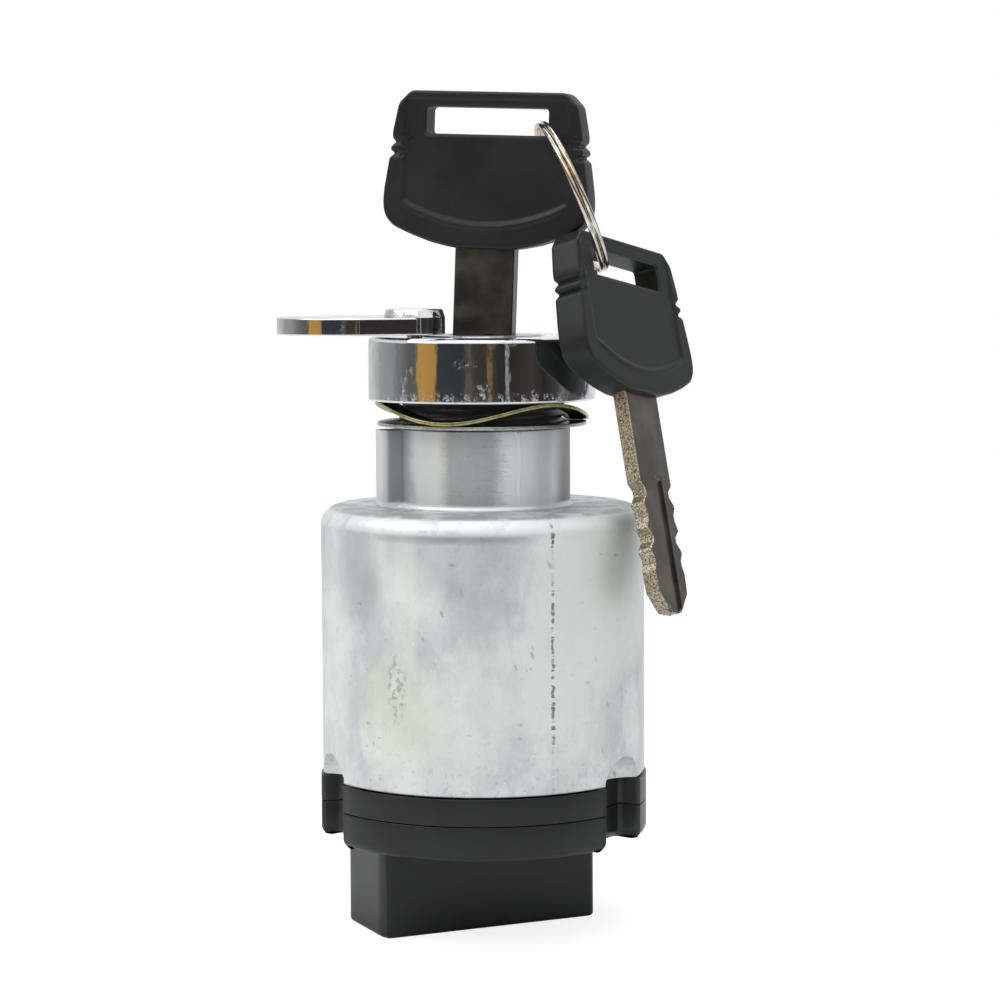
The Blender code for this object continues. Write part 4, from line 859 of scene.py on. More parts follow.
def foot_path(count=560):
    """The foot's outline: a circle with three flat-floored notches, and each point's inner angle.

    Inner angles run wider than the notches, so that lines ruled inwards never cross a notch.
    """
    half = NOTCH_WIDTH / 2
    rim = math.sqrt(FOOT_R ** 2 - half ** 2)
    reach = math.degrees(math.asin(half / FOOT_R))
    path, inner = [], []
    turns = sorted(NOTCH_TURNS)
    for number, turn in enumerate(turns):
        corners = [(rim - 0.0012, -half, 0), (NOTCH_FLOOR_R, -half, 0.0010), (NOTCH_FLOOR_R, half, 0.0010),
                   (rim - 0.0012, half, 0)]
        start = softened([(rim * 0.999, -half - 0.0009, 0), (rim, -half, 0.0007), (rim - 0.0014, -half, 0)],
                         6)
        floor = softened(corners, 6)
        finish = softened([(rim - 0.0014, half, 0), (rim, half, 0.0007), (rim * 0.999, half + 0.0009, 0)], 6)
        notch = np.vstack([start[1:], floor[1:-1], finish[:-1]])
        spin = math.radians(turn)
        turned = notch @ np.array([[math.cos(spin), math.sin(spin)], [-math.sin(spin), math.cos(spin)]])
        path.append(turned)
        inner.append(turn + np.linspace(-27.0, 27.0, len(turned)))
        following = turns[(number + 1) % len(turns)] + (360.0 if number == len(turns) - 1 else 0.0)
        arc = arc_points((0.0, 0.0), FOOT_R, turn + reach + 2.2, following - reach - 2.2, 60)
        path.append(arc)
        inner.append(np.linspace(turn + 27.0, following - 27.0, len(arc) + 2)[1:-1])
    rows = np.column_stack([np.vstack(path), np.concatenate(inner)])
    even = evened(rows, count, rows[:1] + (0.0, 0.0, 360.0))
    return even[:, :2], np.radians(even[:, 2])


def holder_skin():
    """The upper black layer: the notched outline's band, ruled in to the detent wall and bore.

    The bore's radius is the wall's, or where a detent groove is deeper, c cos d + sqrt(r^2 - c^2 sin^2 d).
    """
    path, inner = foot_path()
    bore = np.full_like(inner, HOLDER_BORE_R)
    for step in DETENT_TURNS:
        for side in (90.0, 270.0):
            reach, hit = column_reach(inner, step + side, DETENT_CIRCLE_R, DETENT_R, True)
            bore = np.where(hit & (reach > bore), reach, bore)
    low, high, top = HOLDER_LOW, HOLDER_LOW + HOLDER_FLANGE, HOLDER_TOP
    direction = np.stack([np.cos(inner), np.sin(inner)], 1)
    band = carried(path, softened([(0.0012, low, 0), (0.0, low - SEAM_SHUT, 0.00016),
                                   (0.0, high + SEAM_SHUT, 0.00016),
                                   (0.0012, high, 0)], 4))
    wall = (HOLDER_BORE_R + HOLDER_WALL) * direction
    bore_path = bore[:, None] * direction
    loops = [level(bore_path, low)[None], ruled(level(bore_path, low), band[0], 3), band,
             ruled(band[-1], level(wall, high), 3), level(wall, high)[None], level(wall, top)[None],
             level(np.maximum(bore, HOLDER_BORE_R)[:, None] * direction, top)[None]]
    return surface(np.concatenate(loops) + AXIS, ring=True)


def base_skins():
    """The lower black layer and shroud as one skin from pole to pole, and the rounded lug at its front.

    Rows: top pole, notched band with a 1.4 mm foot round, ruled over the underside to the shroud's rounded
    rectangle, down its wall, round the rim, up inside and over the floor to the second pole. The lug is a
    superellipsoid: each axis is its half size times the signed 0.25 power of the sphere's.
    """
    path, inner = foot_path()
    edge = softened([(0.0012, BASE_TOP, 0), (0.0, BASE_TOP + SEAM_SHUT, 0.00016),
                     (0.0, BASE_LOW + BASE_ROUND, 0)], 4)
    bend = np.linspace(0.15, np.pi / 2, 7)
    foot = np.stack([BASE_ROUND * (1 - np.cos(bend)), BASE_LOW + BASE_ROUND * (1 - np.sin(bend))], 1)
    band = carried(path, np.vstack([edge, foot]))
    direction = np.stack([np.cos(inner), np.sin(inner)], 1)
    middle = np.array(SHROUD_CENTRE)

    def wall(inset):
        size = (SHROUD_SIZE[0] - 2 * inset, SHROUD_SIZE[1] - 2 * inset)
        corner = max(SHROUD_CORNER - inset, 0.0003)
        return middle + round_rectangle_radius(size, corner, inner)[:, None] * direction

    ring = level(0.016 * direction, BASE_TOP)
    loops = [gathered(ring), ring[None], ruled(ring, band[0], 2), band]
    first = level(wall(-0.0003), BASE_LOW)
    loops += [ruled(band[-1], first, 4), first[None]]
    outside = softened([(-0.0003, BASE_LOW, 0), (0.0, BASE_LOW - 0.0004, 0), (0.0, 0.0, SHROUD_RIM_ROUND),
                        (SHROUD_WALL, 0.0, 0.0003), (SHROUD_WALL, BASE_LOW - 0.0003, 0)], 5)[1:]
    spread = np.linspace(outside[0, 1], SHROUD_RIM_ROUND * 1.5, 8)[1:]
    rows = [(0.0, height) for height in spread]
    for inset, height in [tuple(outside[0])] + rows + [tuple(row) for row in outside[1:]]:
        loops.append(level(wall(inset), height)[None])
    floor = loops[-1][0]
    loops += [ruled(floor, np.broadcast_to(floor.mean(0), floor.shape), 2), gathered(floor)]
    skins = [surface(np.concatenate(loops) + AXIS)]
    lug_middle = np.array([LUG_X, SHROUD_CENTRE[1] - SHROUD_SIZE[1] / 2, BASE_LOW])
    skins.append(superellipsoid(LUG_SIZE, lug_middle + AXIS, 0.22))
    return skins


def superellipsoid(size, centre, power, rows=26, columns=48):
    """A rounded block: each axis is half its size times sign(s) |s|^power of the unit sphere's part."""
    down = np.linspace(0.0, np.pi, rows)[:, None]
    around = np.linspace(0.0, 2 * np.pi, columns, endpoint=False)[None]

    def eased(value):
        return np.sign(value) * np.abs(value) ** power

    x = eased(np.sin(down)) * eased(np.cos(around))
    y = eased(np.sin(down)) * eased(np.sin(around))
    z = eased(np.cos(down)) + 0.0 * around
    grid = np.stack([x * size[0] / 2, y * size[1] / 2, z * size[2] / 2], -1) + centre
    return surface(grid)


def bezel_skin():
    """The chromed nut: a lathed section with a bevelled top, a small foot chamfer and a stepped bore."""
    corners = [(BEZEL_OPENING_R, BEZEL_TOP - 0.0004, 0), (BEZEL_OPENING_R, BEZEL_TOP, 0.00035),
               (BEZEL_R - 0.0007, BEZEL_TOP, 0.0003),
               (BEZEL_R, BEZEL_TOP - 0.0004, 0.00035), (BEZEL_R, BEZEL_LOW + 0.0002, 0.00015),
               (BEZEL_R - 0.0002, BEZEL_LOW, 0.00015),
               (BEZEL_BORE_R + 0.0002, BEZEL_LOW, 0.0002), (BEZEL_BORE_R, BEZEL_LOW + 0.0003, 0),
               (BEZEL_BORE_R, BEZEL_TOP - BEZEL_LIP, 0),
               (BEZEL_OPENING_R, BEZEL_TOP - BEZEL_LIP, 0)]
    return surface(lathe(softened(corners, 5), 240) + AXIS, ring=True)


def washer_skin():
    """The flat washer: a lathed rectangle whose outer edge is rounded by stamping."""
    corners = [(THREAD_R + 0.0003, WASHER_LOW, 0), (WASHER_R, WASHER_LOW, 0.00018),
               (WASHER_R, WASHER_TOP, 0.00012), (THREAD_R + 0.0003, WASHER_TOP, 0)]
    return surface(lathe(softened(corners, 4), RING_COLUMNS) + AXIS, ring=True)


def wave_skin():
    """The wave washer: a thin rounded section at each angle, lifted by rise * cos(3 (angle - turn))."""
    half = WAVE_THICK / 2
    corners = [(WAVE_INNER_R, -half, 0.0001), (WAVE_OUTER_R, -half, 0.0001), (WAVE_OUTER_R, half, 0.0001),
               (WAVE_INNER_R, half, 0.0001)]
    section = softened(corners, 3, closed=True)
    across = []
    for first, second in zip(section, np.roll(section, -1, 0)):
        steps = max(1, int(np.linalg.norm(second - first) / 0.0005))
        across += [first + (second - first) * step / steps for step in range(steps)]
    angle = np.linspace(0.0, 2 * np.pi, RING_COLUMNS, endpoint=False)
    grid = lathe(np.array(across), RING_COLUMNS)
    middle = (WAVE_LOW + WAVE_TOP) / 2
    grid[..., 2] += middle + WAVE_RISE * np.cos(WAVE_COUNT * (angle - math.radians(WAVE_TURN)))
    return surface(grid + AXIS, ring=True)


def cover_matrix():
    """The dust cover's axes: its pivot on the bezel, turned to where it has swung."""
    reach, turn = COVER_PIVOT
    spot = AXIS + reach * np.array([math.cos(math.radians(turn)), math.sin(math.radians(turn)), 0.0])
    return Matrix.Translation(spot) @ Matrix.Rotation(math.radians(COVER_TURN), 4, "Z")


def cover_skins():
    """The dust cover: a disc joined to its pivot lug, ruled in to a pole, and a conical boss."""
    disc = arc_points((COVER_ARM, 0.0), COVER_R, -180.0 + COVER_SPREAD, 180.0 - COVER_SPREAD, 90)
    lug = arc_points((0.0, 0.0), COVER_BOSS_R, 180.0 - COVER_SPREAD, 180.0 + COVER_SPREAD, 30)
    path = evened(np.vstack([disc, lug]), 300)
    low, high = COVER_LOW, COVER_LOW + COVER_THICK
    band = carried(path, softened([(0.0012, high, 0), (0.0, high, 0.00025), (0.0, low, 0.0002),
                                   (0.0012, low, 0)], 5))
    middle = np.array([COVER_ARM * 0.8, 0.0])
    inside = middle + (path - middle) * 0.5
    top, foot = level(inside, high), level(inside, low)
    loops = [gathered(top), top[None], ruled(top, band[0], 2), band, ruled(band[-1], foot, 2), foot[None],
             gathered(foot)]
    boss_top = high + COVER_BOSS_HEIGHT
    boss = lathe(softened([(0.0, high - 0.0006, 0), (COVER_BOSS_R, high - 0.0006, 0),
                           (COVER_BOSS_R, high, 0.0002),
                           (COVER_BOSS_TOP_R + 0.0003, boss_top, 0.00025), (0.0, boss_top, 0)], 4), 96)
    pin = pin_grid(boss_top)
    matrix = cover_matrix()
    return [surface(moved(np.concatenate(loops), matrix)),
            surface(moved(boss, matrix))], surface(moved(pin, matrix))


def pin_grid(boss_top):
    """The peened pin: a lathed shank under a low domed head."""
    half = 0.0011
    corners = [(0.0, boss_top, 0), (PIN_HEAD_R * 0.7, boss_top - 0.00003, 0.0003),
               (PIN_HEAD_R, boss_top - 0.00025, 0.0002),
               (PIN_HEAD_R, boss_top - 0.0005, 0), (half, boss_top - 0.0005, 0),
               (half, BEZEL_TOP - 0.0018, 0), (0.0, BEZEL_TOP - 0.0018, 0)]
    return lathe(softened(corners, 4), 64)


def key_matrices():
    """The roots of the seated key and the hanging key, and the split ring's axes."""
    def turn(angles):
        return Euler([math.radians(angle) for angle in angles]).to_matrix().to_4x4()

    root = Matrix.Translation(AXIS)
    pivot_z = PLUG_FACE - (BLADE_LENGTH - KEY_REACH) / 2
    seated = root @ turn((0.0, 0.0, LOCK_TURN)) @ Matrix.Translation((0.0, 0.0, pivot_z)) @ turn((0.0,
                                                                                                  KEY_LEAN,
                                                                                                  0.0))
    seated = seated @ Matrix.Translation((0.0, 0.0, PLUG_FACE + KEY_REACH - pivot_z))
    front = root @ turn((0.0, 0.0, FRONT_TURN))
    lean = math.degrees(math.asin((BODY_R + HANG_TIP_CLEAR - HANG_PLACE[0]) / (HANG_SLOT[1] + BLADE_LENGTH)))
    hung = front @ Matrix.Translation(HANG_PLACE) @ turn((HANG_SWAY, -lean, 0.0)) @ turn((0.0, 0.0,
                                                                                          HANG_SPIN))
    hung = hung @ Matrix.Translation((-HANG_SLOT[0], 0.0, -HANG_SLOT[1]))
    ring = front @ Matrix.Translation(RING_CENTRE) @ turn(RING_TILT)
    return seated, hung, ring


def head_path():
    """The moulded head's outline in (x, z), counter-clockwise: chamfered, notched and bowed."""
    half, high = HEAD_HALF, HEAD_HEIGHT
    side = [(half - 0.0038, high, 0.0006), (half - 0.0020, high - 0.0018, 0.0005),
            (half - 0.0012, high - 0.0058, 0.0004),
            (half - 0.0012, high - 0.0068, 0.0003), (half - 0.0018, high - 0.0073, 0.0002),
            (half - 0.0011, high - 0.0078, 0.0003),
            (half - 0.0009, high - 0.0084, 0.0003), (half - 0.0016, high - 0.0089, 0.0002),
            (half - 0.0008, high - 0.0095, 0.0003),
            (half - 0.0001, high - 0.0140, 0.0010), (half, high - 0.0162, 0.0008),
            (half - 0.0004, high - 0.0178, 0.0007),
            (half - 0.0016, high - 0.0191, 0.0007), (half - 0.0042, high - 0.0202, 0.0008),
            (half - 0.0075, high - 0.0213, 0.0010),
            (half - 0.0110, high - 0.0220, 0.0012)]
    mirrored = [(-x, z, cut) for x, z, cut in side]
    return evened(softened(side[::-1] + mirrored, 4, closed=True), 520)


def head_relief(x, z):
    """How far a head's face is sunk: a panel with a curved lower border and a raised crease along it, and two
    grooves at each edge. The border's height is 3.4 mm + 2.5 mm (x / 11 mm)^2."""
    border = 0.0034 + 0.0025 * (x / 0.011) ** 2
    panel = smooth(0.0, 0.0006, z - border) * smooth(0.0123, 0.0117, np.abs(x)) * smooth(0.0213, 0.0207, z)
    crease = np.exp(-((z - border + 0.00025) / 0.00032) ** 2) * smooth(0.0125, 0.0100, np.abs(x))
    grooves = np.zeros_like(x)
    for place in (HEAD_HEIGHT - 0.0073, HEAD_HEIGHT - 0.0089):
        grooves += np.exp(-((z - place) / 0.00038) ** 2) * smooth(0.0118, 0.0128, np.abs(x))
    return 0.00024 * panel - 0.00016 * crease + 0.00040 * grooves


def head_skin(matrix):
    """A key's head: front face, rounded edge, back face and slot wall as one ring of loops.

    The faces are ruled from the outline to the slot's rounded rectangle, and sunk by the relief.
    """
    path = head_path()
    centre = np.array([0.0, SLOT_CENTRE])
    from_slot = path - centre
    angle = np.arctan2(from_slot[:, 1], from_slot[:, 0])
    squeezed = np.arctan2(np.sin(angle) * 0.55, np.cos(angle))
    direction = np.stack([np.cos(squeezed), np.sin(squeezed)], 1)

    def slot(inset):
        size = (SLOT_SIZE[0] - 2 * inset, SLOT_SIZE[1] - 2 * inset)
        return centre + round_rectangle_radius(size, 0.0006 - inset * 0.5, squeezed)[:, None] * direction

    half = HEAD_THICK / 2
    edge = carried(path, softened([(0.0010, half, 0), (0.0, half, 0.0006), (-0.00002, 0.0, 0.0002),
                                   (0.0, -half, 0.0006), (0.0010, -half, 0)], 6))
    lip = 0.00045
    loops = [level(slot(0.0), -(half - lip))[None], level(slot(0.0), half - lip)[None],
             level(slot(-lip * 0.3), half - lip * 0.3)[None],
             level(slot(-lip), half)[None], ruled(level(slot(-lip), half), edge[0], 60), edge,
             ruled(edge[-1], level(slot(-lip), -half), 60), level(slot(-lip), -half)[None],
             level(slot(-lip * 0.3), -(half - lip * 0.3))[None]]
    flat = np.concatenate(loops)
    x, z, out = flat[..., 0], flat[..., 1], flat[..., 2]
    on_face = smooth(half - 0.0005, half, np.abs(out))
    out = out - np.sign(out) * head_relief(x, z) * on_face
    grid = np.stack([x, -out, z], -1)
    return surface(moved(grid, matrix), ring=True)


def blade_half(z):
    """A key blade's half width at each height: straight, then two-flanked cuts, then the tip's taper."""
    pitch = (BLADE_LENGTH - KEY_REACH - BLADE_HALF) / (CUT_COUNT + 0.5)
    places = [(BLADE_ROOT, BLADE_HALF), (-KEY_REACH - 0.0003, BLADE_HALF)]
    for number in range(CUT_COUNT):
        start = -KEY_REACH - 0.0003 - pitch * (number + 0.15)
        depth = CUT_DEPTH * (1.0 if number % 2 == 0 else 0.55)
        places += [(start, BLADE_HALF), (start - pitch * 0.3, BLADE_HALF - depth),
                   (start - pitch * 0.55, BLADE_HALF - depth),
                   (start - pitch * 0.85, BLADE_HALF - CUT_DEPTH * 0.15)]
    places += [(-BLADE_LENGTH + BLADE_HALF * 0.64, BLADE_HALF - CUT_DEPTH * 0.3),
               (-BLADE_LENGTH, BLADE_HALF * 0.35)]
    places = np.array(places[::-1])
    return np.interp(z, places[:, 0], places[:, 1])


def blade_skin(matrix):
    """A key's blade: at each height a grooved section whose edges reach the half width, closed at both ends.

    Columns within 2.2 mm of the middle keep their place, so that the grooves run straight past the cuts.
    """
    height = np.concatenate([np.linspace(BLADE_ROOT, -KEY_REACH, 60),
                             np.linspace(-KEY_REACH, -BLADE_LENGTH, 170)[1:]])[:, None]
    width = blade_half(height)
    inner = np.array([0.0022, 0.00185, 0.00178, 0.0014, 0.0010, 0.0006, 0.00022, 0.00015, -0.0002, -0.0010,
                      -0.0022])
    chamfer = 0.00012
    half = BLADE_THICK / 2
    sunk = GROOVE_DEPTH * smooth(-KEY_REACH * 0.98, -KEY_REACH * 1.05, height)
    near = width - chamfer * 2.2
    front_x = [width - chamfer, near] + [np.minimum(spot, near - chamfer) + 0.0 * width for spot in inner]
    front_x += [-near, -(width - chamfer)]
    front_y = []
    for x in front_x:
        within = smooth(GROOVE_HALF + 0.00002, GROOVE_HALF - 0.00003, np.abs(x - GROOVE_SHIFT))
        front_y.append(-half + sunk * within)
    xs = [width] + front_x + [-width, -width] + [-x for x in front_x] + [width]
    ys = [-half + chamfer + 0.0 * width] + front_y + [-half + chamfer + 0.0 * width,
                                                      half - chamfer + 0.0 * width]
    ys += [-y for y in front_y] + [half - chamfer + 0.0 * width]
    x, y = np.concatenate(xs, 1), np.concatenate(ys, 1)
    grid = np.stack([x, y, height + 0.0 * x], -1)
    tip = np.broadcast_to(grid[-1].mean(0), grid[-1].shape)[None]
    root = np.broadcast_to(grid[0].mean(0), grid[0].shape)[None]
    return surface(moved(np.concatenate([root, grid, tip]), matrix))


def mark_cut_edges(obj, matrix):
    """Marks the blade's sawn edges: 1 within 0.10 mm of the edge, 0 past 0.24 mm."""
    count = len(obj.data.vertices)
    co = np.empty(count * 3)
    obj.data.vertices.foreach_get("co", co)
    local = moved(co.reshape(-1, 3), matrix.inverted())
    depth = blade_half(local[:, 2]) - np.abs(local[:, 0])
    mark = obj.data.attributes.new("cut_edge", "FLOAT", "POINT")
    mark.data.foreach_set("value", smooth(0.00024, 0.00010, depth).astype(np.float32))


def ring_skin(matrix):
    """The split ring: a round wire along two turns of a close coil, its ends drawn to points."""
    pitch = RING_WIRE_R * 2.15
    turns = np.linspace(0.0, RING_TURNS, RING_TURNS * 120 + 1)
    along = turns * 2 * np.pi
    lift = pitch * turns - pitch * RING_TURNS / 2
    path = np.stack([lift, RING_R * np.sin(along), -RING_R * np.cos(along)], 1)
    away = np.stack([0.0 * along, np.sin(along), -np.cos(along)], 1)
    sideways = np.array([1.0, 0.0, 0.0])
    around = np.linspace(0.0, 2 * np.pi, 16, endpoint=False)
    section = away[:, None] * np.cos(around)[None, :, None] + sideways * np.sin(around)[None, :, None]
    grid = path[:, None] + RING_WIRE_R * section
    ends = [np.broadcast_to(path[0], grid[0].shape)[None], np.broadcast_to(path[-1], grid[0].shape)[None]]
    return surface(moved(np.concatenate([ends[0], grid, ends[1]]), matrix))


class SwitchColours(bpy.types.PropertyGroup):
    """Colours that a user may change."""

    plastic: bpy.props.FloatVectorProperty(
        name="Plastic", description="Colour of the black mouldings", subtype="COLOR", size=3, min=0.0,
        max=1.0,
        default=(0.0105, 0.0110, 0.0112))
    key_plastic: bpy.props.FloatVectorProperty(
        name="Key heads", description="Colour of the moulded key heads", subtype="COLOR", size=3, min=0.0,
        max=1.0,
        default=(0.0072, 0.0081, 0.0084))
    chrome: bpy.props.FloatVectorProperty(
        name="Chrome", description="Colour of the bright plating", subtype="COLOR", size=3, min=0.0, max=1.0,
        default=(0.80, 0.80, 0.82))
    floor: bpy.props.FloatVectorProperty(
        name="Floor", description="Colour of the floor", subtype="COLOR", size=3, min=0.0, max=1.0,
        default=(0.86, 0.86, 0.86))


class SwitchStage(bpy.types.PropertyGroup):
    """Sizes and levels of the stage."""

    floor_radius: bpy.props.FloatProperty(
        name="Floor radius", description="Reach of the round floor", subtype="DISTANCE", unit="LENGTH",
        default=0.50, min=0.1)
    side_power: bpy.props.FloatProperty(
        name="Side lamp", description="Power of the large lamp at the left", subtype="POWER", default=1.1,
        min=0.0)
    top_power: bpy.props.FloatProperty(
        name="Top lamp", description="Power of the lamp overhead", subtype="POWER", default=1.4, min=0.0)
    front_power: bpy.props.FloatProperty(
        name="Front lamp", description="Power of the lamp above the camera", subtype="POWER", default=0.8,
        min=0.0)


class SWITCH_OT_casting(bpy.types.Operator):
    """Make the zinc casting"""

    bl_idname = "switch.casting"
    bl_label = "Casting"

    def execute(self, context):
        make_piece("zinc_casting", [housing_skin()], zinc_finish(), "switch", ["housing"], 50.0)
        return {"FINISHED"}


class SWITCH_OT_foot(bpy.types.Operator):
    """Make the two black layers under the casting"""

    bl_idname = "switch.foot"
    bl_label = "Black foot"

    def execute(self, context):
        colour = tuple(context.scene.switch_colours.plastic)
        # The last number of each finish is the share of its painted grey reflection at the far left and right
        make_piece("holder_moulding", [holder_skin()],
                   moulded_finish("holder_plastic", colour, 0.36, 2600.0, 0.8),
                   "switch", ["contact_holder"])
        make_piece("base_moulding", base_skins(), moulded_finish("base_plastic", colour, 0.32, 2600.0, 0.6),
                   "switch", ["terminal_base"])
        return {"FINISHED"}


class SWITCH_OT_bezel(bpy.types.Operator):
    """Make the chromed bezel and the two washers under it"""

    bl_idname = "switch.bezel"
    bl_label = "Bezel and washers"

    def execute(self, context):
        chrome = tuple(context.scene.switch_colours.chrome)
        make_piece("bezel_nut", [bezel_skin()], chrome_finish("bezel_chrome", chrome, 0.07), "switch",
                   ["bezel_ring"], 30.0)
        # The third colour of each washer is the painted shade on its faces
        plate = rim_finish("washer_plate", (0.30, 0.32, 0.30), (0.62, 0.65, 0.62), (0.10, 0.10, 0.085),
                           WASHER_R, 0.34)
        make_piece("plain_washer", [washer_skin()], plate, "switch", ["flat_washer"])
        yellow = rim_finish("wave_plate", (0.30, 0.29, 0.10), (0.66, 0.64, 0.34), (0.035, 0.033, 0.024),
                            WAVE_OUTER_R,
                            0.30)
        make_piece("spring_washer", [wave_skin()], yellow, "switch", ["wave_washer"])
        return {"FINISHED"}


class SWITCH_OT_cover(bpy.types.Operator):
    """Make the swung dust cover and its pin"""

    bl_idname = "switch.cover"
    bl_label = "Dust cover"

    def execute(self, context):
        chrome = tuple(context.scene.switch_colours.chrome)
        cover, pin = cover_skins()
        finish = chrome_finish("cover_chrome", chrome, 0.08)
        make_piece("cover_plate", cover, finish, "cover", ["dust_cover"], 30.0)
        make_piece("cover_pin", [pin], chrome_finish("pin_chrome", chrome, 0.14, 0.4), "switch",
                   ["cover_pivot_pin"], 30.0)
        return {"FINISHED"}


class SWITCH_OT_keys(bpy.types.Operator):
    """Make both keys and the split ring that joins them"""

    bl_idname = "switch.keys"
    bl_label = "Keys and ring"

    def execute(self, context):
        colour = tuple(context.scene.switch_colours.key_plastic)
        seated, hung, ring = key_matrices()
        plastic = moulded_finish("key_plastic", colour, 0.46, 3200.0)
        steel = key_steel_finish()
        for number, (matrix, body) in enumerate(((seated, "key_1"), (hung, "key_2")), 1):
            make_piece(f"key_{number}_moulding", [head_skin(matrix)], plastic, body, [f"key_{number}_head"],
                       45.0)
            blade = make_piece(f"key_{number}_plate", [blade_skin(matrix)], steel, body,
                               [f"key_{number}_blade"], 30.0)
            if body == "key_2":
                mark_cut_edges(blade, matrix)
        nickel = plated_finish("ring_nickel", (0.30, 0.26, 0.20), (0.90, 0.87, 0.80), 0.12,
                               tint=(0.70, 0.56, 0.36))
        make_piece("key_ring", [ring_skin(ring)], nickel, "ring", ["split_ring"])
        return {"FINISHED"}


class SWITCH_OT_inner(bpy.types.Operator):
    """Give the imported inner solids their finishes"""

    bl_idname = "switch.inner"
    bl_label = "Inner pieces"

    def execute(self, context):
        node_finishes()
        return {"FINISHED"}


def room_world():
    """The surroundings: white to the camera, plain soft grey to surfaces, and to mirrors a pale room that is dark
    on the photographer's side, with a strip of brown card."""
    world = bpy.data.worlds.new("studio")
    bpy.context.scene.world = world
    world.use_nodes = True
    world.node_tree.nodes.clear()
    paint = Paint("studio", world.node_tree)
    x, y, z = paint.split(paint.node("ShaderNodeTexCoord", output="Generated"))
    ahead = math.radians(270.0 + FRONT_TURN)
    right = x * -math.sin(ahead) + y * math.cos(ahead)
    front = x * math.cos(ahead) + y * math.sin(ahead)
    around = right.math("ARCTAN2", front) / (2 * math.pi) + 0.5

    def ramp(stops):
        placed = [(0.5 + degrees / 360.0, colour) for degrees, colour in stops]
        return paint.node("ShaderNodeValToRGB", {"stops": placed}, {0: around})

    level_ramp = ramp(ROOM_BAND)
    high_ramp = ramp([(degrees, (grey, grey, grey * 1.01)) for degrees, grey in ROOM_ABOVE])
    band = z.within(-0.30, -0.18, 0.20, 0.34)
    mirror = paint.mix(high_ramp, level_ramp, band)
    colour = paint.mix((0.62, 0.63, 0.64), mirror, paint.ray("Glossy"))
    colour = paint.mix(colour, (1.0, 1.0, 1.0), paint.ray("Camera"))
    paint.finished(paint.node("ShaderNodeBackground", links={"Color": colour}), "ShaderNodeOutputWorld")


def floor_finish(colour):
    """A pale floor that reads as white to the camera and keeps the object's shadow."""
    paint = Paint("pale_floor")
    camera_ray = paint.ray("Camera")
    fibre = paint.noise(60.0, 2.0, 0.5)
    tone = paint.mix(colour, tuple(part * 1.03 for part in colour), fibre)
    tone = paint.mix(tone, (0.40, 0.40, 0.40), camera_ray)
    shade = paint.node("ShaderNodeBsdfDiffuse", links={"Color": tone})
    glow = paint.node("ShaderNodeEmission", links={"Color": (1.0, 1.0, 1.0, 1.0),
                                                   "Strength": camera_ray * 0.80})
    return paint.finished(paint.node("ShaderNodeAddShader", links={0: shade, 1: glow}))


def add_lamp(name, size, power, place, target):
    """Adds a square soft lamp at a place, aimed at a target."""
    data = bpy.data.lights.new(name, "AREA")
    data.shape = "RECTANGLE"
    data.size, data.size_y = size
    data.energy = power
    lamp = bpy.data.objects.new(name, data)
    bpy.context.scene.collection.objects.link(lamp)
    lamp.location = place
    lamp.rotation_euler = (Vector(target) - Vector(place)).to_track_quat("-Z", "Y").to_euler()
    return lamp


def front_axes(x, y, z):
    """Turns a place in the photograph's axes, right, away and up from the lock's axis, into the model's."""
    spin = Matrix.Rotation(math.radians(FRONT_TURN), 3, "Z")
    return Vector(AXIS) + spin @ Vector((x, y, z))


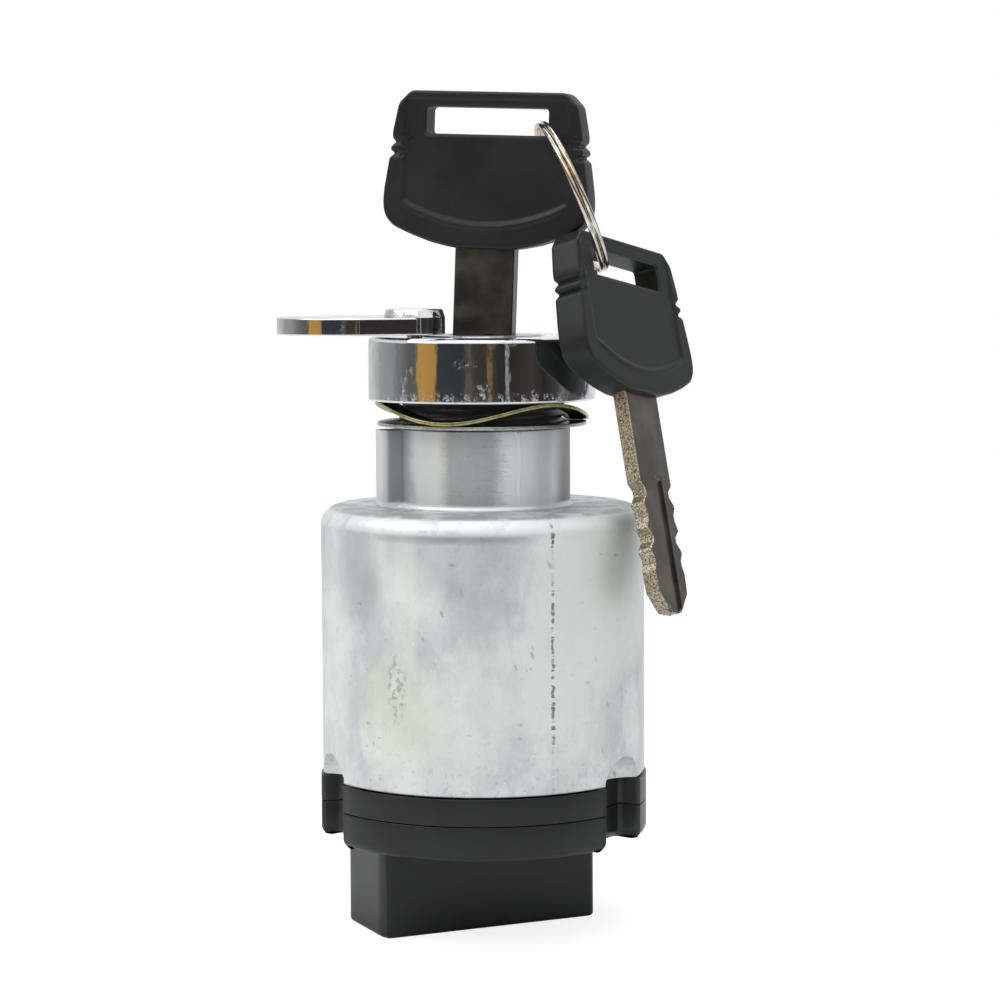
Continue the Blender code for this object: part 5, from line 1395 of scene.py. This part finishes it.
class SWITCH_OT_stage(bpy.types.Operator):
    """Make the floor, the surroundings, the lamps and the camera"""

    bl_idname = "switch.stage"
    bl_label = "Stage"

    def execute(self, context):
        scene = context.scene
        stage, colours = scene.switch_stage, scene.switch_colours
        scene.view_settings.view_transform = "Standard"
        room_world()
        disc = arc_points((0.0, 0.0), 1.0, 0.0, 360.0, 128)[:-1] * stage.floor_radius
        mesh = bpy.data.meshes.new("floor")
        mesh.from_pydata(level(disc, 0.0).tolist(), [], [list(range(len(disc)))])
        mesh.materials.append(floor_finish(tuple(colours.floor)))
        floor = bpy.data.objects.new("floor", mesh)
        scene.collection.objects.link(floor)
        aim = front_axes(0.0, 0.0, 0.06)
        add_lamp("side_lamp", (0.5, 0.3), stage.side_power, front_axes(-0.45, -0.12, 0.52), aim)
        add_lamp("top_lamp", (0.5, 0.5), stage.top_power, front_axes(0.05, 0.10, 0.70), aim)
        add_lamp("front_lamp", (0.6, 0.25), stage.front_power, front_axes(-0.10, -0.50, 0.62), aim)
        data = bpy.data.cameras.new("camera")
        data.sensor_width = SENSOR
        data.lens = CAMERA_LENS
        data.clip_start = 0.01
        camera = bpy.data.objects.new("camera", data)
        scene.collection.objects.link(camera)
        look = Matrix.Rotation(math.radians(90.0 + CAMERA_PITCH), 4,
                               "X") @ Matrix.Rotation(math.radians(-CAMERA_ROLL), 4, "Z")
        spin = Matrix.Rotation(math.radians(FRONT_TURN + CAMERA_YAW), 4, "Z")
        camera.matrix_world = Matrix.Translation(front_axes(*CAMERA_PLACE)) @ spin @ look
        scene.camera = camera
        return {"FINISHED"}


class SWITCH_PT_sidebar(bpy.types.Panel):
    """Lists the settings and the pieces"""

    bl_idname = "SWITCH_PT_sidebar"
    bl_label = "Ignition Switch"
    bl_space_type = "VIEW_3D"
    bl_region_type = "UI"
    bl_category = "Switch"

    def draw(self, context):
        layout = self.layout
        for group in (context.scene.switch_colours, context.scene.switch_stage):
            for name in group.__annotations__:
                layout.prop(group, name)
        for step in STEPS:
            layout.operator(step.bl_idname)


STEPS = (SWITCH_OT_stage, SWITCH_OT_casting, SWITCH_OT_foot, SWITCH_OT_bezel, SWITCH_OT_cover,
         SWITCH_OT_keys, SWITCH_OT_inner)
CLASSES = (SwitchColours, SwitchStage, *STEPS, SWITCH_PT_sidebar)


def register():
    """Registers the classes and the scene's settings."""
    for item in CLASSES:
        bpy.utils.register_class(item)
    bpy.types.Scene.switch_colours = bpy.props.PointerProperty(type=SwitchColours)
    bpy.types.Scene.switch_stage = bpy.props.PointerProperty(type=SwitchStage)


def unregister():
    """Removes what register added."""
    del bpy.types.Scene.switch_stage
    del bpy.types.Scene.switch_colours
    for item in reversed(CLASSES):
        bpy.utils.unregister_class(item)


def main():
    """Registers the classes and makes every piece in order."""
    register()
    for step in STEPS:
        group, name = step.bl_idname.split(".")
        getattr(getattr(bpy.ops, group), name)()


if __name__ == "__main__":
    main()
